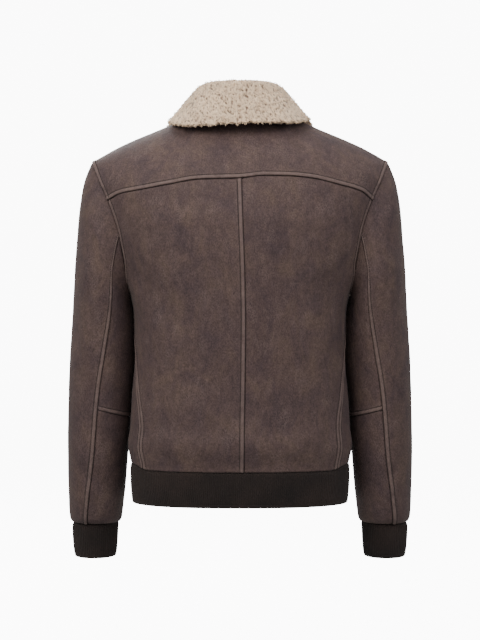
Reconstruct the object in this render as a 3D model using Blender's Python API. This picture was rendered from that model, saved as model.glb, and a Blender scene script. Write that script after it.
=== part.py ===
"""A shearling leather blouson in the hollow form it takes when it is worn.

Metres. +Z is up, +Y is the back, +X is the wearer's left. The origin is the middle of the neck
opening at the height of the side neck points, where the wearer's shoulders carry the jacket.
"""

import math
from collections import namedtuple

import bmesh
import bpy
from mathutils import Matrix, Vector
from mathutils.kdtree import KDTree

NAME = "shearling_jacket"
CUTTERS = "joined_pieces"

WALL = 0.003  # shorn sheepskin, and the doubled rib knit
SEAM_GAP = 0.0003
WELD = 0.00001
SPLIT_FROM = (0.61, 0.35, 0.71)
SAME_WAY = 0.98  # cosine above which two pieces are taken to lie in one surface
WELT_WIDTH = 0.0055
WELT_FOOT = 0.0072
WELT_HEIGHT = 0.0011

# The body is a stack of superelliptic rings, read off from the hem up to the shoulder point.
RING_POWER = 2.4
Ring = namedtuple("Ring", "level half_width back front")
BODY = (
    Ring(-0.6120, 0.1700, 0.1040, 0.1040),
    Ring(-0.5850, 0.1725, 0.1075, 0.1075),
    Ring(-0.5570, 0.1720, 0.1090, 0.1090),
    Ring(-0.5000, 0.1740, 0.1165, 0.1160),
    Ring(-0.4450, 0.1722, 0.1190, 0.1190),
    Ring(-0.4080, 0.1690, 0.1210, 0.1215),
    Ring(-0.3710, 0.1672, 0.1240, 0.1240),
    Ring(-0.3160, 0.1692, 0.1280, 0.1265),
    Ring(-0.2880, 0.1740, 0.1300, 0.1280),
    Ring(-0.2500, 0.1872, 0.1325, 0.1290),
    Ring(-0.2100, 0.2005, 0.1340, 0.1290),
    Ring(-0.1800, 0.2090, 0.1340, 0.1260),
    Ring(-0.1410, 0.2229, 0.1280, 0.1200),
    Ring(-0.1050, 0.2331, 0.1200, 0.1120),
    Ring(-0.0736, 0.2365, 0.1100, 0.1000),
)
HEM_LEVEL = -0.6120
RIB_SEAM_LEVEL = -0.5570
HEM_LEVELS = (RIB_SEAM_LEVEL, -0.5700, -0.5950, HEM_LEVEL)
BLOUSE_RISE = 0.0330  # how far above the rib the leather bags out over it
BLOUSE_BULGE = 0.0035

# Neck opening: half an ellipse behind and half in front, dipping towards its middle.
NECK_HALF_WIDTH = 0.0800
NECK_BACK = 0.0750
NECK_FRONT = 0.0850
NECK_BACK_DIP = 0.0150
NECK_FRONT_DIP = 0.0850
NECK_BACK_POWER = 1.5
NECK_FRONT_POWER = 2.0
NECK_RISE_ANGLE = 60.0  # how steeply the cloth runs up to the middle of the neckline

# Armhole: an ellipse seen from the side, lying on the rings.
SHOULDER_LEVEL = -0.0736
UNDERARM_LEVEL = -0.2880
ARMHOLE_HALF_DEPTH = 0.0680
YOKE_END = 66.8  # angles round the armhole, from the shoulder point backwards
BACK_SLEEVE_SEAM = 97.0
UNDERARM = 180.0
FLAT_UNDERARM = 0.0110  # the welt fades out within this height of the underarm
FRONT_SLEEVE_SEAM = 255.0
FRONT_LEVEL_END = 275.8
WELT_TURN = 3.2
WELT_FOOT_TURN = 4.1

# Seam lines across the back, as they look from behind.
SeamPoint = namedtuple("SeamPoint", "x level")
YOKE_SEAM = (
    SeamPoint(-0.2060, -0.1386),
    SeamPoint(-0.1880, -0.1262),
    SeamPoint(-0.1536, -0.1176),
    SeamPoint(-0.1140, -0.1091),
    SeamPoint(-0.0745, -0.1054),
    SeamPoint(-0.0365, -0.1050),
    SeamPoint(0.0000, -0.1090),
    SeamPoint(0.0608, -0.1107),
    SeamPoint(0.1146, -0.1190),
    SeamPoint(0.1505, -0.1247),
    SeamPoint(0.1850, -0.1298),
    SeamPoint(0.2060, -0.1386),
)
CentrePoint = namedtuple("CentrePoint", "level x")
CENTRE_SEAM = (
    CentrePoint(-0.6120, -0.0060),
    CentrePoint(-0.5570, -0.0061),
    CentrePoint(-0.3400, -0.0080),
    CentrePoint(-0.1085, -0.0015),
)
SideSeam = namedtuple("SideSeam", "level angle")
SIDE_SEAM = (
    SideSeam(-0.6120, 66.5),
    SideSeam(-0.5570, 66.5),
    SideSeam(-0.4950, 66.0),
    SideSeam(-0.4430, 70.0),
    SideSeam(-0.3700, 80.0),
    SideSeam(-0.3110, 90.0),
    SideSeam(-0.2880, 90.0),
)
FRONT_LEVEL = -0.1700  # level line on the front where its lower and upper halves join
ZIP_HALF_GAP = 0.0070

# Sleeve rings from the first one past the armhole to the cuff seam. Each lies in the plane
# through its outermost and innermost points and the front-to-back direction.
SleeveRing = namedtuple(
    "SleeveRing", "name out_x out_z in_x in_z middle_y half_depth back_seam front_seam"
)
SLEEVE = (
    SleeveRing("armhole", 0.2365, -0.0736, 0.1740, -0.2880, 0.000, 0.0680, 97.0, 255.0),
    SleeveRing("cap", 0.2497, -0.1085, 0.1752, -0.3000, -0.001, 0.0700, 110.0, 252.0),
    SleeveRing("cap_low", 0.2568, -0.1500, 0.1736, -0.3130, -0.003, 0.0720, 112.6, 250.0),
    SleeveRing("biceps", 0.2612, -0.2000, 0.1716, -0.3320, -0.007, 0.0730, 111.8, 249.0),
    SleeveRing("arm", 0.2655, -0.2500, 0.1704, -0.3520, -0.012, 0.0720, 109.5, 249.0),
    SleeveRing("arm_mid", 0.2687, -0.3000, 0.1698, -0.3760, -0.017, 0.0705, 105.0, 249.0),
    SleeveRing("arm_low", 0.2718, -0.3500, 0.1708, -0.4050, -0.020, 0.0685, 100.4, 250.0),
    SleeveRing("above_elbow", 0.2750, -0.4000, 0.1735, -0.4400, -0.023, 0.0665, 96.0, 251.0),
    SleeveRing("elbow", 0.2769, -0.4520, 0.1758, -0.4800, -0.026, 0.0645, 92.3, 252.0),
    SleeveRing("forearm", 0.2777, -0.5230, 0.1798, -0.5380, -0.030, 0.0610, 90.0, 254.0),
    SleeveRing("forearm_low", 0.2763, -0.5890, 0.1838, -0.5940, -0.037, 0.0560, 83.0, 257.0),
    SleeveRing("bag", 0.2757, -0.6300, 0.1895, -0.6320, -0.041, 0.0520, 78.0, 260.0),
    SleeveRing("bag_low", 0.2748, -0.6445, 0.1925, -0.6455, -0.043, 0.0480, 76.4, 261.0),
    SleeveRing("cuff_seam", 0.2722, -0.6530, 0.1968, -0.6530, -0.045, 0.0410, 75.1, 262.0),
)
CUFF_ROW = len(SLEEVE) - 1
NumberedRing = namedtuple(
    "NumberedRing", "row out_x out_z in_x in_z middle_y half_depth back_seam front_seam"
)
SLEEVE_RINGS = [NumberedRing(row, *ring[1:]) for row, ring in enumerate(SLEEVE)]
CuffRing = namedtuple("CuffRing", "row out_x in_x level middle_y half_depth")
CUFF = (
    CuffRing(0, 0.2722, 0.1968, -0.6530, -0.0450, 0.0410),
    CuffRing(1, 0.2724, 0.1988, -0.6620, -0.0455, 0.0403),
    CuffRing(2, 0.2710, 0.2004, -0.6900, -0.0470, 0.0396),
    CuffRing(3, 0.2692, 0.2020, -0.7080, -0.0480, 0.0385),
)

# Collar, a band folded over a roll. Angles run round the neck from the middle of the back.
COLLAR_WALL = 0.0070
COLLAR_EDGE_WALL = 0.0050
COLLAR_SEAT = 0.0010
ROLL_RADIUS = 0.0115
CollarPlane = namedtuple("CollarPlane", "angle roll_r roll_z edge_r edge_z")
COLLAR = (
    CollarPlane(0.0, 0.0830, 0.0327, 0.1070, -0.0252),
    CollarPlane(25.0, 0.0825, 0.0327, 0.1120, -0.0255),
    CollarPlane(45.0, 0.0795, 0.0322, 0.1225, -0.0235),
    CollarPlane(65.0, 0.0775, 0.0285, 0.1240, -0.0165),
    CollarPlane(90.0, 0.0755, 0.0230, 0.1160, -0.0070),
    CollarPlane(110.0, 0.0780, 0.0130, 0.1290, -0.0170),
    CollarPlane(130.0, 0.0850, -0.0010, 0.1470, -0.0540),
    CollarPlane(150.0, 0.0940, -0.0320, 0.1460, -0.1120),
    CollarPlane(165.0, 0.0950, -0.0540, 0.1320, -0.1300),
    CollarPlane(175.0, 0.0940, -0.0630, 0.1250, -0.1180),
)

# Zip, its slider and its pull tab.
TAPE_HALF_WIDTH = 0.0160
TAPE_THICK = 0.0010
CHAIN_HALF_WIDTH = 0.0032
CHAIN_FOOT = 0.0050
CHAIN_SINK = 0.0008
ZIP_CLEARANCE = 0.0008
ZIP_TOP_SHARE = 0.4  # how far down from the neckline to the next row the tape stops
SLIDER_LEVEL = -0.1010
SLIDER_LONG = 0.0110
SLIDER_WIDE = 0.0088
SLIDER_THICK = 0.0026
BRIDGE_LONG = 0.0080
BRIDGE_WIDE = 0.0018
BRIDGE_WIRE = 0.0011
BRIDGE_LEG = 0.0016
BRIDGE_ROOM = 0.0028
TAB_LONG = 0.0300
TAB_WIDE = 0.0062
TAB_THICK = 0.0015
TAB_BAR = 0.0015
TAB_EYE = 0.0030
TAB_EYE_END = 0.0054

# Colours and finishes, as linear values.
Finish = namedtuple("Finish", "colour roughness metallic")
FINISHES = {
    "leather": Finish((0.085, 0.058, 0.052), 0.62, 0.0),
    "knit": Finish((0.018, 0.012, 0.011), 0.9, 0.0),
    "wool": Finish((0.60, 0.50, 0.41), 0.95, 0.0),
    "zip": Finish((0.020, 0.018, 0.018), 0.5, 0.0),
    "metal": Finish((0.25, 0.22, 0.18), 0.35, 1.0),
}

# Soft folds of the worn cloth, each a ridge (or, below zero, a hollow) along a line.
Fold = namedtuple("Fold", "start end width height")
FOLDS = (
    Fold((0.178, 0.060, -0.225), (0.085, 0.125, -0.330), 0.017, -0.0022),
    Fold((-0.180, 0.060, -0.225), (-0.100, 0.122, -0.300), 0.015, -0.0020),
    Fold((0.172, 0.050, -0.262), (0.115, 0.112, -0.370), 0.013, 0.0018),
    Fold((-0.172, 0.050, -0.255), (-0.125, 0.108, -0.385), 0.014, 0.0020),
    Fold((0.150, 0.085, -0.505), (0.060, 0.115, -0.520), 0.014, 0.0020),
    Fold((-0.155, 0.080, -0.490), (-0.075, 0.115, -0.512), 0.013, 0.0018),
    Fold((0.030, 0.122, -0.490), (-0.045, 0.120, -0.515), 0.015, 0.0014),
    Fold((0.165, -0.075, -0.230), (0.075, -0.125, -0.320), 0.016, -0.0024),
    Fold((-0.165, -0.075, -0.230), (-0.085, -0.123, -0.345), 0.016, -0.0024),
    Fold((0.160, -0.070, -0.480), (0.070, -0.113, -0.515), 0.014, 0.0022),
    Fold((-0.155, -0.075, -0.500), (-0.060, -0.113, -0.520), 0.014, 0.0020),
    Fold((0.262, -0.045, -0.440), (0.205, -0.078, -0.475), 0.011, -0.0024),
    Fold((-0.262, -0.045, -0.435), (-0.208, -0.078, -0.462), 0.011, -0.0022),
    Fold((0.268, -0.035, -0.485), (0.215, -0.078, -0.510), 0.010, -0.0018),
    Fold((-0.268, -0.035, -0.490), (-0.215, -0.078, -0.505), 0.010, -0.0020),
    Fold((0.262, 0.030, -0.590), (0.215, 0.022, -0.612), 0.011, 0.0020),
    Fold((-0.262, 0.030, -0.582), (-0.215, 0.022, -0.610), 0.011, 0.0020),
    Fold((0.246, 0.045, -0.165), (0.222, 0.066, -0.235), 0.013, -0.0018),
    Fold((-0.246, 0.045, -0.165), (-0.224, 0.066, -0.225), 0.013, -0.0018),
)

Station = namedtuple("Station", "point normal raised")


def fold_height(point):
    """How far the folds near a point lift the cloth there."""
    total = 0.0
    for fold in FOLDS:
        start, end = Vector(fold.start), Vector(fold.end)
        run = end - start
        along = min(max((point - start).dot(run) / run.length_squared, 0.0), 1.0)
        away = (point - start - run * along).length / fold.width
        if away < 2:
            swell = math.sin(math.pi * (0.12 + 0.76 * along))
            total += fold.height * swell * (math.cos(math.pi * away / 2) + 1) / 2
    return total


def read(rows, column, at):
    """The named column of a table at a value of its first column, on a smooth curve."""
    keys = [row[0] for row in rows]
    values = [getattr(row, column) for row in rows]
    at = min(max(at, keys[0]), keys[-1])
    last = len(keys) - 2
    k = min(sum(key <= at for key in keys[1:]), last)
    steps = [(values[i + 1] - values[i]) / (keys[i + 1] - keys[i]) for i in range(last + 1)]

    def slope(i):
        if i == 0 or i == last + 1:
            return steps[min(i, last)]
        before, after = steps[i - 1], steps[i]
        if before * after <= 0:
            return 0.0
        return 2 * before * after / (before + after)

    span = keys[k + 1] - keys[k]
    t = (at - keys[k]) / span
    start, end = slope(k) * span, slope(k + 1) * span
    a, b = values[k], values[k + 1]
    return (
        (2 * t**3 - 3 * t**2 + 1) * a
        + (t**3 - 2 * t**2 + t) * start
        + (3 * t**2 - 2 * t**3) * b
        + (t**3 - t**2) * end
    )


def mix(a, b, t):
    return a + (b - a) * t


# ---------------------------------------------------------------- the body's surface


def ring_point(angle, level):
    """A point of the body by its angle from the middle of the back, towards the left."""
    half_width = read(BODY, "half_width", level)
    depth = read(BODY, "back" if math.cos(angle) >= 0 else "front", level)
    across = abs(math.sin(angle) / half_width) ** RING_POWER
    along = abs(math.cos(angle) / depth) ** RING_POWER
    radius = (across + along) ** (-1 / RING_POWER)
    return Vector((radius * math.sin(angle), radius * math.cos(angle), level))


def ring_angle(x, level, side):
    """The angle at which the ring has this x, behind (side 1) or in front (side -1)."""
    half_width = read(BODY, "half_width", level)
    depth = read(BODY, "back" if side > 0 else "front", level)
    inside = max(1 - abs(x / half_width) ** RING_POWER, 0.0)
    return math.atan2(x, side * depth * inside ** (1 / RING_POWER))


def slope_normal(surface, u, v, step=0.0005):
    """The outward normal of a surface, whose v runs up and u runs to the wearer's left."""
    along = surface(u + step, v) - surface(u - step, v)
    up = surface(u, v + step) - surface(u, v - step)
    return up.cross(along).normalized()


def ring_normal(angle, level):
    return slope_normal(ring_point, angle, level)


def neck_point(turn):
    """A point of the neckline by its turn in radians from the middle of the back."""
    fore = math.cos(turn)
    if fore >= 0:
        depth, drop = NECK_BACK, NECK_BACK_DIP * fore**NECK_BACK_POWER
    else:
        depth, drop = NECK_FRONT, NECK_FRONT_DIP * abs(fore) ** NECK_FRONT_POWER
    return Vector((NECK_HALF_WIDTH * math.sin(turn), depth * fore, -drop))


def armhole_point(turn):
    """A point of the left armhole by its angle in degrees from the shoulder point backwards."""
    middle = (SHOULDER_LEVEL + UNDERARM_LEVEL) / 2
    level = middle + (SHOULDER_LEVEL - middle) * math.cos(math.radians(turn))
    y = ARMHOLE_HALF_DEPTH * math.sin(math.radians(turn))
    half_width = read(BODY, "half_width", level)
    depth = read(BODY, "back" if y >= 0 else "front", level)
    x = half_width * (1 - abs(y / depth) ** RING_POWER) ** (1 / RING_POWER)
    return Vector((x, y, level))


def seat(foot, foot_rise, top, top_rise, t):
    """A smooth run from a foot to a top that leaves and arrives in the given directions."""
    return (
        foot * (2 * t**3 - 3 * t**2 + 1)
        + foot_rise * (t**3 - 2 * t**2 + t)
        + top * (3 * t**2 - 2 * t**3)
        + top_rise * (t**3 - t**2)
    )


NECK_SHARE = 0.38  # of a shoulder's columns, those that run up to the neckline
FULLNESS = 1.45  # how round the cloth turns over the shoulder


def shoulder_point(across, t, hand, side):
    """The yoke (side 1) or the upper front (side -1): across 0 to 1 from the middle to the
    armhole, t 0 to 1 from its lower line up to the neckline and the shoulder ridge."""
    foot_turn = YOKE_END if side > 0 else FRONT_LEVEL_END
    end = armhole_point(foot_turn)
    start = read(CENTRE_SEAM, "x", end.z) * hand if side > 0 else ZIP_HALF_GAP
    foot_x = mix(start, end.x, across) * hand
    level = read(YOKE_SEAM, "level", foot_x) if side > 0 else FRONT_LEVEL
    foot = ring_point(ring_angle(foot_x, level, side), level)

    if across < NECK_SHARE:
        begin = 0.0 if side > 0 else math.asin(ZIP_HALF_GAP / NECK_HALF_WIDTH)
        turn = mix(begin, math.pi / 2, across / NECK_SHARE)
        top = neck_point(turn if side > 0 else math.pi - turn)
        if side > 0:
            top.x += start * (1 - across / NECK_SHARE)
        climb = math.radians(NECK_RISE_ANGLE) * math.cos(turn) ** (2 if side > 0 else 1)
    else:
        share = (across - NECK_SHARE) / (1 - NECK_SHARE)
        shoulder = armhole_point(0)
        top = Vector((NECK_HALF_WIDTH, 0, 0)).lerp(shoulder, share)
        climb = 0.0
    top.x *= hand
    run = (top - foot).length
    ease = 1e-4
    lean = (top.x - foot.x) / (top.z - foot.z) * 0.5 * ease
    lift = ring_point(ring_angle(foot_x + lean, level + ease, side), level + ease) - foot
    foot_rise = lift * ((top.z - foot.z) * FULLNESS / lift.z)
    arrive = Vector((0, -side * math.cos(climb), math.sin(climb)))
    top_rise = arrive * (run * (1 - 0.35 * math.sin(climb)))
    top_rise.x += (top.x - foot.x) * 0.8
    return seat(foot, foot_rise, top, top_rise, t)


def shoulder_station(across, t, hand, side):
    """A point of the yoke or upper front whose last column follows the armhole exactly."""
    base_turn = YOKE_END if side > 0 else FRONT_LEVEL_END
    end_turn = 0.0 if side > 0 else 360.0
    rim = armhole_point(mix(base_turn, end_turn, t))
    rim.x *= hand
    drift = rim - shoulder_point(1.0, t, hand, side)
    return shoulder_point(across, t, hand, side) + drift * across**4


def shoulder_normal(across, t, hand, side):
    """The outward normal of the yoke (side 1) or of the upper front (side -1)."""
    fine = 0.002
    along = shoulder_station(min(across + fine, 1), t, hand, side)
    along -= shoulder_station(max(across - fine, 0), t, hand, side)
    up = shoulder_station(across, min(t + fine, 1), hand, side)
    up -= shoulder_station(across, max(t - fine, 0), hand, side)
    return up.cross(along * hand * side).normalized()


def blouse(level):
    """How far the leather bags out just above the rib."""
    share = (level - RIB_SEAM_LEVEL) / BLOUSE_RISE
    if share >= 2:
        return 0.0
    return BLOUSE_BULGE * math.sin(math.pi * share / 2) ** 2


# ---------------------------------------------------------------- columns and rows

NECK_COLUMNS = [0.0, 0.10, 0.17, 0.24, 0.31, NECK_SHARE]
OUTER_COLUMNS = [0.53, 0.68, 0.82, 0.92]
CENTRE_WELT_COLUMNS = [0.028, 0.036]
YOKE_COLUMNS_LEFT = NECK_COLUMNS[:1] + CENTRE_WELT_COLUMNS + NECK_COLUMNS[1:] + OUTER_COLUMNS
YOKE_COLUMNS_RIGHT = NECK_COLUMNS + OUTER_COLUMNS
EDGE_COLUMNS = [1 - WELT_FOOT / 0.2085, 1 - WELT_WIDTH / 0.2085, 1.0]
FRONT_COLUMNS = NECK_COLUMNS + [0.53, 0.68, 0.84, 1.0]
YOKE_TURNS = [YOKE_END - WELT_FOOT_TURN, YOKE_END - WELT_TURN, YOKE_END]
BACK_TURNS = [
    77.5,
    87.0,
    BACK_SLEEVE_SEAM - WELT_FOOT_TURN,
    BACK_SLEEVE_SEAM - WELT_TURN,
    BACK_SLEEVE_SEAM,
    113.0,
    130.0,
    147.0,
    164.0,
    UNDERARM,
]
FRONT_TURNS = [197.0, 215.0, 235.0, FRONT_SLEEVE_SEAM, FRONT_LEVEL_END]
TOP_BACK_TURNS = [0.0, 14.0, 30.0, 47.0] + YOKE_TURNS
TOP_FRONT_TURNS = [FRONT_LEVEL_END, 297.0, 318.0, 335.0, 348.0, 360.0]
SIDE_LEVELS = [-0.298, -0.311, -0.330, -0.370, -0.420, -0.470, -0.510, -0.540, RIB_SEAM_LEVEL]
WELT_SHARE = 1.27  # keeps the welts beside the seams as wide at the rib as above


def yoke_rows():
    return [(YOKE_END - turn) / YOKE_END for turn in reversed(TOP_BACK_TURNS)]


def front_rows():
    span = 360.0 - FRONT_LEVEL_END
    return [(turn - FRONT_LEVEL_END) / span for turn in TOP_FRONT_TURNS]


def yoke_patch(columns, hand):
    """Half of the yoke, with a welt along its lower seam and along the armhole."""
    rows = yoke_rows()
    patch = []
    for t in rows:
        row = []
        for across in columns:
            point = shoulder_station(across, t, hand, 1)
            normal = shoulder_normal(across, t, hand, 1)
            if t == 0:
                normal = ring_normal(math.atan2(point.x, point.y), point.z)
            proud = t <= rows[1] or across >= EDGE_COLUMNS[1]
            row.append(Station(point, normal, WELT_HEIGHT if proud else 0.0))
        patch.append(row)
    return patch


def side_angle(level):
    return math.radians(read(SIDE_SEAM, "angle", level))


def middle_angle(level, hand, side):
    """The angle of the centre-back seam (side 1) or of the zip's edge (side -1)."""
    if side > 0:
        return ring_angle(read(CENTRE_SEAM, "x", level) * hand, level, side)
    return ring_angle(ZIP_HALF_GAP, level, side)


def outer_edge(side):
    """A panel's outer edge from its upper corner down: round the armhole, then the side seam.
    Each entry is a level and an angle."""
    turns = [YOKE_END] + BACK_TURNS if side > 0 else list(reversed(FRONT_TURNS)) + [UNDERARM]
    points = [armhole_point(turn) for turn in turns]
    edge = [(point.z, math.atan2(point.x, point.y)) for point in points]
    return edge + [(level, side_angle(level)) for level in SIDE_LEVELS]


def rib_share(across):
    """A column's place along the rib seam, by its place along the panel's upper line."""
    if across in CENTRE_WELT_COLUMNS:
        return across * WELT_SHARE
    if across in EDGE_COLUMNS:
        return 1 - (1 - across) * WELT_SHARE
    return across


def lower_patch(columns, hand, side, welted_middle):
    """A back or front panel below its upper line, with welts beside the armhole and side
    seam of a back and, on the panel that laps over, beside the middle seam."""
    edge = outer_edge(side)
    count = len(edge) - 1
    corner, corner_angle = edge[0]
    tops = [shoulder_station(across, 0.0, hand, side) for across in columns]
    patch = []
    for number, (edge_level, edge_angle) in enumerate(edge):
        row = []
        for across, top in zip(columns, tops):
            even = number / count
            beside = (corner - edge_level) / (corner - RIB_SEAM_LEVEL)
            down = mix(even, beside, across)
            level = mix(top.z, RIB_SEAM_LEVEL, down)
            begin = middle_angle(top.z, hand, side)
            place = (math.atan2(top.x * hand, top.y) - begin) / (corner_angle - begin)
            place = mix(place, rib_share(across), down)
            angle = mix(middle_angle(level, hand, side), edge_angle, place) * hand
            point = ring_point(angle, level)
            normal = ring_normal(angle, level)
            proud = side > 0 and across >= EDGE_COLUMNS[1]
            proud = proud and abs(edge_level - UNDERARM_LEVEL) > FLAT_UNDERARM
            proud = proud or (welted_middle and across <= CENTRE_WELT_COLUMNS[0])
            lift = normal * blouse(level)
            row.append(Station(point + lift, normal, WELT_HEIGHT if proud else 0.0))
        patch.append(row)
    return patch


def front_upper_patch(hand):
    patch = []
    for t in front_rows():
        row = []
        for across in FRONT_COLUMNS:
            point = shoulder_station(across, t, hand, -1)
            normal = shoulder_normal(across, t, hand, -1)
            if t == 0:
                normal = ring_normal(math.atan2(point.x, point.y), point.z)
            row.append(Station(point, normal, 0.0))
        patch.append(row)
    return patch


# ---------------------------------------------------------------- sleeves


def sleeve_column(turn, row):
    """Where a column that leaves the armhole at a turn lies at a ring, keeping to the seams."""
    back = read(SLEEVE_RINGS, "back_seam", row)
    front = read(SLEEVE_RINGS, "front_seam", row)
    knots = ((0.0, 0.0), (BACK_SLEEVE_SEAM, back), (FRONT_SLEEVE_SEAM, front), (360.0, 360.0))
    for (a, a_now), (b, b_now) in zip(knots, knots[1:]):
        if turn <= b:
            return mix(a_now, b_now, (turn - a) / (b - a))
    return turn


def sleeve_ring_point(degrees, row):
    """A point on the sleeve's smooth rings, by its angle from the outermost point backwards."""
    values = [read(SLEEVE_RINGS, column, row) for column in NumberedRing._fields[1:7]]
    out_x, out_z, in_x, in_z, middle_y, half_depth = values
    fore = (1 + math.cos(math.radians(degrees))) / 2
    y = middle_y + half_depth * math.sin(math.radians(degrees))
    return Vector((mix(in_x, out_x, fore), y, mix(in_z, out_z, fore)))


def sleeve_point(turn, row):
    """A point of the left sleeve, by where its column leaves the armhole and by its ring."""
    degrees = sleeve_column(turn, row)
    point = sleeve_ring_point(degrees, row)
    fade = max(1 - row / 2, 0.0) ** 2
    if fade > 0:
        point += (armhole_point(degrees) - sleeve_ring_point(degrees, 0.0)) * fade
    return point


def tube_normal(surface, turn, row, last_row):
    """The outward normal of a sleeve or cuff."""
    around = surface((turn + 0.5) % 360, row) - surface((turn - 0.5) % 360, row)
    low, high = max(row - 0.02, 0.0), min(row + 0.02, last_row)
    down = surface(turn % 360, high) - surface(turn % 360, low)
    return down.cross(around).normalized()


def sleeve_patch(turns, rows, hand, welted_turns=(), welted_rows=()):
    patch = []
    for row in rows:
        line = []
        for turn in turns:
            point = sleeve_point(turn, row)
            normal = tube_normal(sleeve_point, turn, row, CUFF_ROW)
            height = WELT_HEIGHT if turn in welted_turns or row in welted_rows else 0.0
            point.x *= hand
            normal.x *= hand
            line.append(Station(point, normal, height))
        patch.append(line)
    return patch


SLEEVE_ROWS_UPPER = [0.0, 0.5, 1.0, 2.0, 3.0, 4.0, 5.0, 6.0, 7.0, 7.86, 8.0]
SLEEVE_ROWS_LOWER = [8.0, 9.0, 10.0, 10.6, 11.0, 12.0, 12.6, 13.0]


def sleeve_turns():
    """All the turns at which a column leaves the armhole, in order round it."""
    return TOP_BACK_TURNS + BACK_TURNS + FRONT_TURNS + TOP_FRONT_TURNS[1:-1]


def top_sleeve_turns():
    turns = sleeve_turns()
    before = [turn for turn in turns if turn >= FRONT_SLEEVE_SEAM]
    after = [turn for turn in turns if turn <= BACK_SLEEVE_SEAM]
    return before + after


def under_sleeve_turns():
    return [turn for turn in sleeve_turns() if BACK_SLEEVE_SEAM <= turn <= FRONT_SLEEVE_SEAM]


def cuff_point(turn, row):
    degrees = math.radians(sleeve_column(turn, CUFF_ROW))
    out_x, in_x, level, middle_y, half_depth = (
        read(CUFF, column, row) for column in CuffRing._fields[1:]
    )
    x = mix(in_x, out_x, (1 + math.cos(degrees)) / 2)
    return Vector((x, middle_y + half_depth * math.sin(degrees), level))


def cuff_patch(hand):
    patch = []
    for row in range(len(CUFF)):
        line = []
        for turn in sleeve_turns() + [360.0]:
            point = cuff_point(turn % 360, row)
            normal = tube_normal(cuff_point, turn, row, len(CUFF) - 1)
            point.x *= hand
            normal.x *= hand
            line.append(Station(point, normal, 0.0))
        patch.append(line)
    return patch


# ---------------------------------------------------------------- hem rib and collar


def hem_patch():
    """The rib band, from the zip round the left side and the back to the zip again."""
    stops = []
    for hand in (1, -1):
        back = (YOKE_COLUMNS_LEFT if hand > 0 else YOKE_COLUMNS_RIGHT) + EDGE_COLUMNS
        line = [(rib_share(across), hand, -1) for across in FRONT_COLUMNS]
        line += [(rib_share(across), hand, 1) for across in reversed(back[:-1])]
        stops += line if hand > 0 else list(reversed(line))[1:]
    patch = []
    for level in HEM_LEVELS:
        row = []
        for share, hand, side in stops:
            middle = middle_angle(level, hand, side)
            angle = mix(middle, side_angle(level), share) * hand
            row.append(Station(ring_point(angle, level), ring_normal(angle, level), 0.0))
        patch.append(row)
    return patch


def neck_turns():
    """The turns of the neckline's columns, from the middle of the back to the zip."""
    quarter = math.pi / 2
    begin = math.asin(ZIP_HALF_GAP / NECK_HALF_WIDTH)
    back = [mix(0, quarter, column / NECK_SHARE) for column in NECK_COLUMNS]
    front = [math.pi - mix(begin, quarter, column / NECK_SHARE) for column in NECK_COLUMNS]
    return back + list(reversed(front))[1:]


def neck_chord(turn):
    """A point of the neckline on the straight runs between the panels' columns."""
    turns = neck_turns()
    k = min(sum(knot <= turn for knot in turns[1:]), len(turns) - 2)
    share = (turn - turns[k]) / (turns[k + 1] - turns[k])
    return neck_point(turns[k]).lerp(neck_point(turns[k + 1]), share)


def collar_section(turn):
    """Outer and inner points of the collar in one plane through the neck, as pairs (r, z),
    and that plane's outward direction."""
    base = neck_chord(turn)
    out = Vector((base.x, base.y, 0)).normalized()
    degrees = math.degrees(math.atan2(base.x, base.y))
    centre_r, centre_z, edge_r, edge_z = (
        read(COLLAR, column, degrees) for column in CollarPlane._fields[1:]
    )
    base_r, base_z = math.hypot(base.x, base.y), base.z + COLLAR_SEAT
    inner = (base_r - COLLAR_WALL, base_z)

    def tangent(end, turn_sign):
        reach = math.hypot(end[0] - centre_r, end[1] - centre_z)
        facing = math.atan2(end[1] - centre_z, end[0] - centre_r)
        return facing + turn_sign * math.acos(ROLL_RADIUS / reach)

    first = tangent((edge_r, edge_z), 1)
    last = tangent(inner, -1)
    if last < first:
        last += 2 * math.pi
    pairs = []

    def straight(start, end, shares, turn, walls):
        for share, wall in zip(shares, walls):
            r, z = mix(start[0], end[0], share), mix(start[1], end[1], share)
            pairs.append(((r, z), (r - wall * math.cos(turn), z - wall * math.sin(turn))))

    def on_roll(turn):
        return (centre_r + ROLL_RADIUS * math.cos(turn), centre_z + ROLL_RADIUS * math.sin(turn))

    leaf_walls = (COLLAR_EDGE_WALL, COLLAR_WALL, COLLAR_WALL, COLLAR_WALL)
    straight((edge_r, edge_z), on_roll(first), (0, 0.08, 0.4, 0.7), first, leaf_walls)
    for step in range(7):
        turn = mix(first, last, step / 6)
        straight(on_roll(turn), on_roll(turn), (0,), turn, (COLLAR_WALL,))
    straight(on_roll(last), inner, (0.5,), last, (COLLAR_WALL,))
    pairs.append((inner, (base_r, base_z)))
    return out, pairs


def collar_turns():
    """Turns of the collar's sections on one side: the neckline's columns and their middles."""
    turns = neck_turns()
    halved = []
    for one, two in zip(turns, turns[1:]):
        halved += [one, (one + two) / 2]
    return halved + [mix(turns[-2], turns[-1], 0.8), mix(turns[-2], turns[-1], 0.93)]


def collar_object():
    mesh = bmesh.new()
    sections = []
    turns = collar_turns()
    for turn in [-turn for turn in reversed(turns[1:])] + turns:
        out, pairs = collar_section(abs(turn))
        out.x *= -1 if turn < 0 else 1
        loop = [pair[0] for pair in pairs] + [pair[1] for pair in reversed(pairs)]
        sections.append([mesh.verts.new(out * r + Vector((0, 0, z))) for r, z in loop])
    loft(mesh, sections)
    for end in (sections[0], sections[-1]):
        for k in range(len(end) // 2 - 1):
            mesh.faces.new((end[k], end[k + 1], end[-k - 2], end[-k - 1]))
    return finished("collar", mesh, "wool")


# ---------------------------------------------------------------- making the solids


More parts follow.
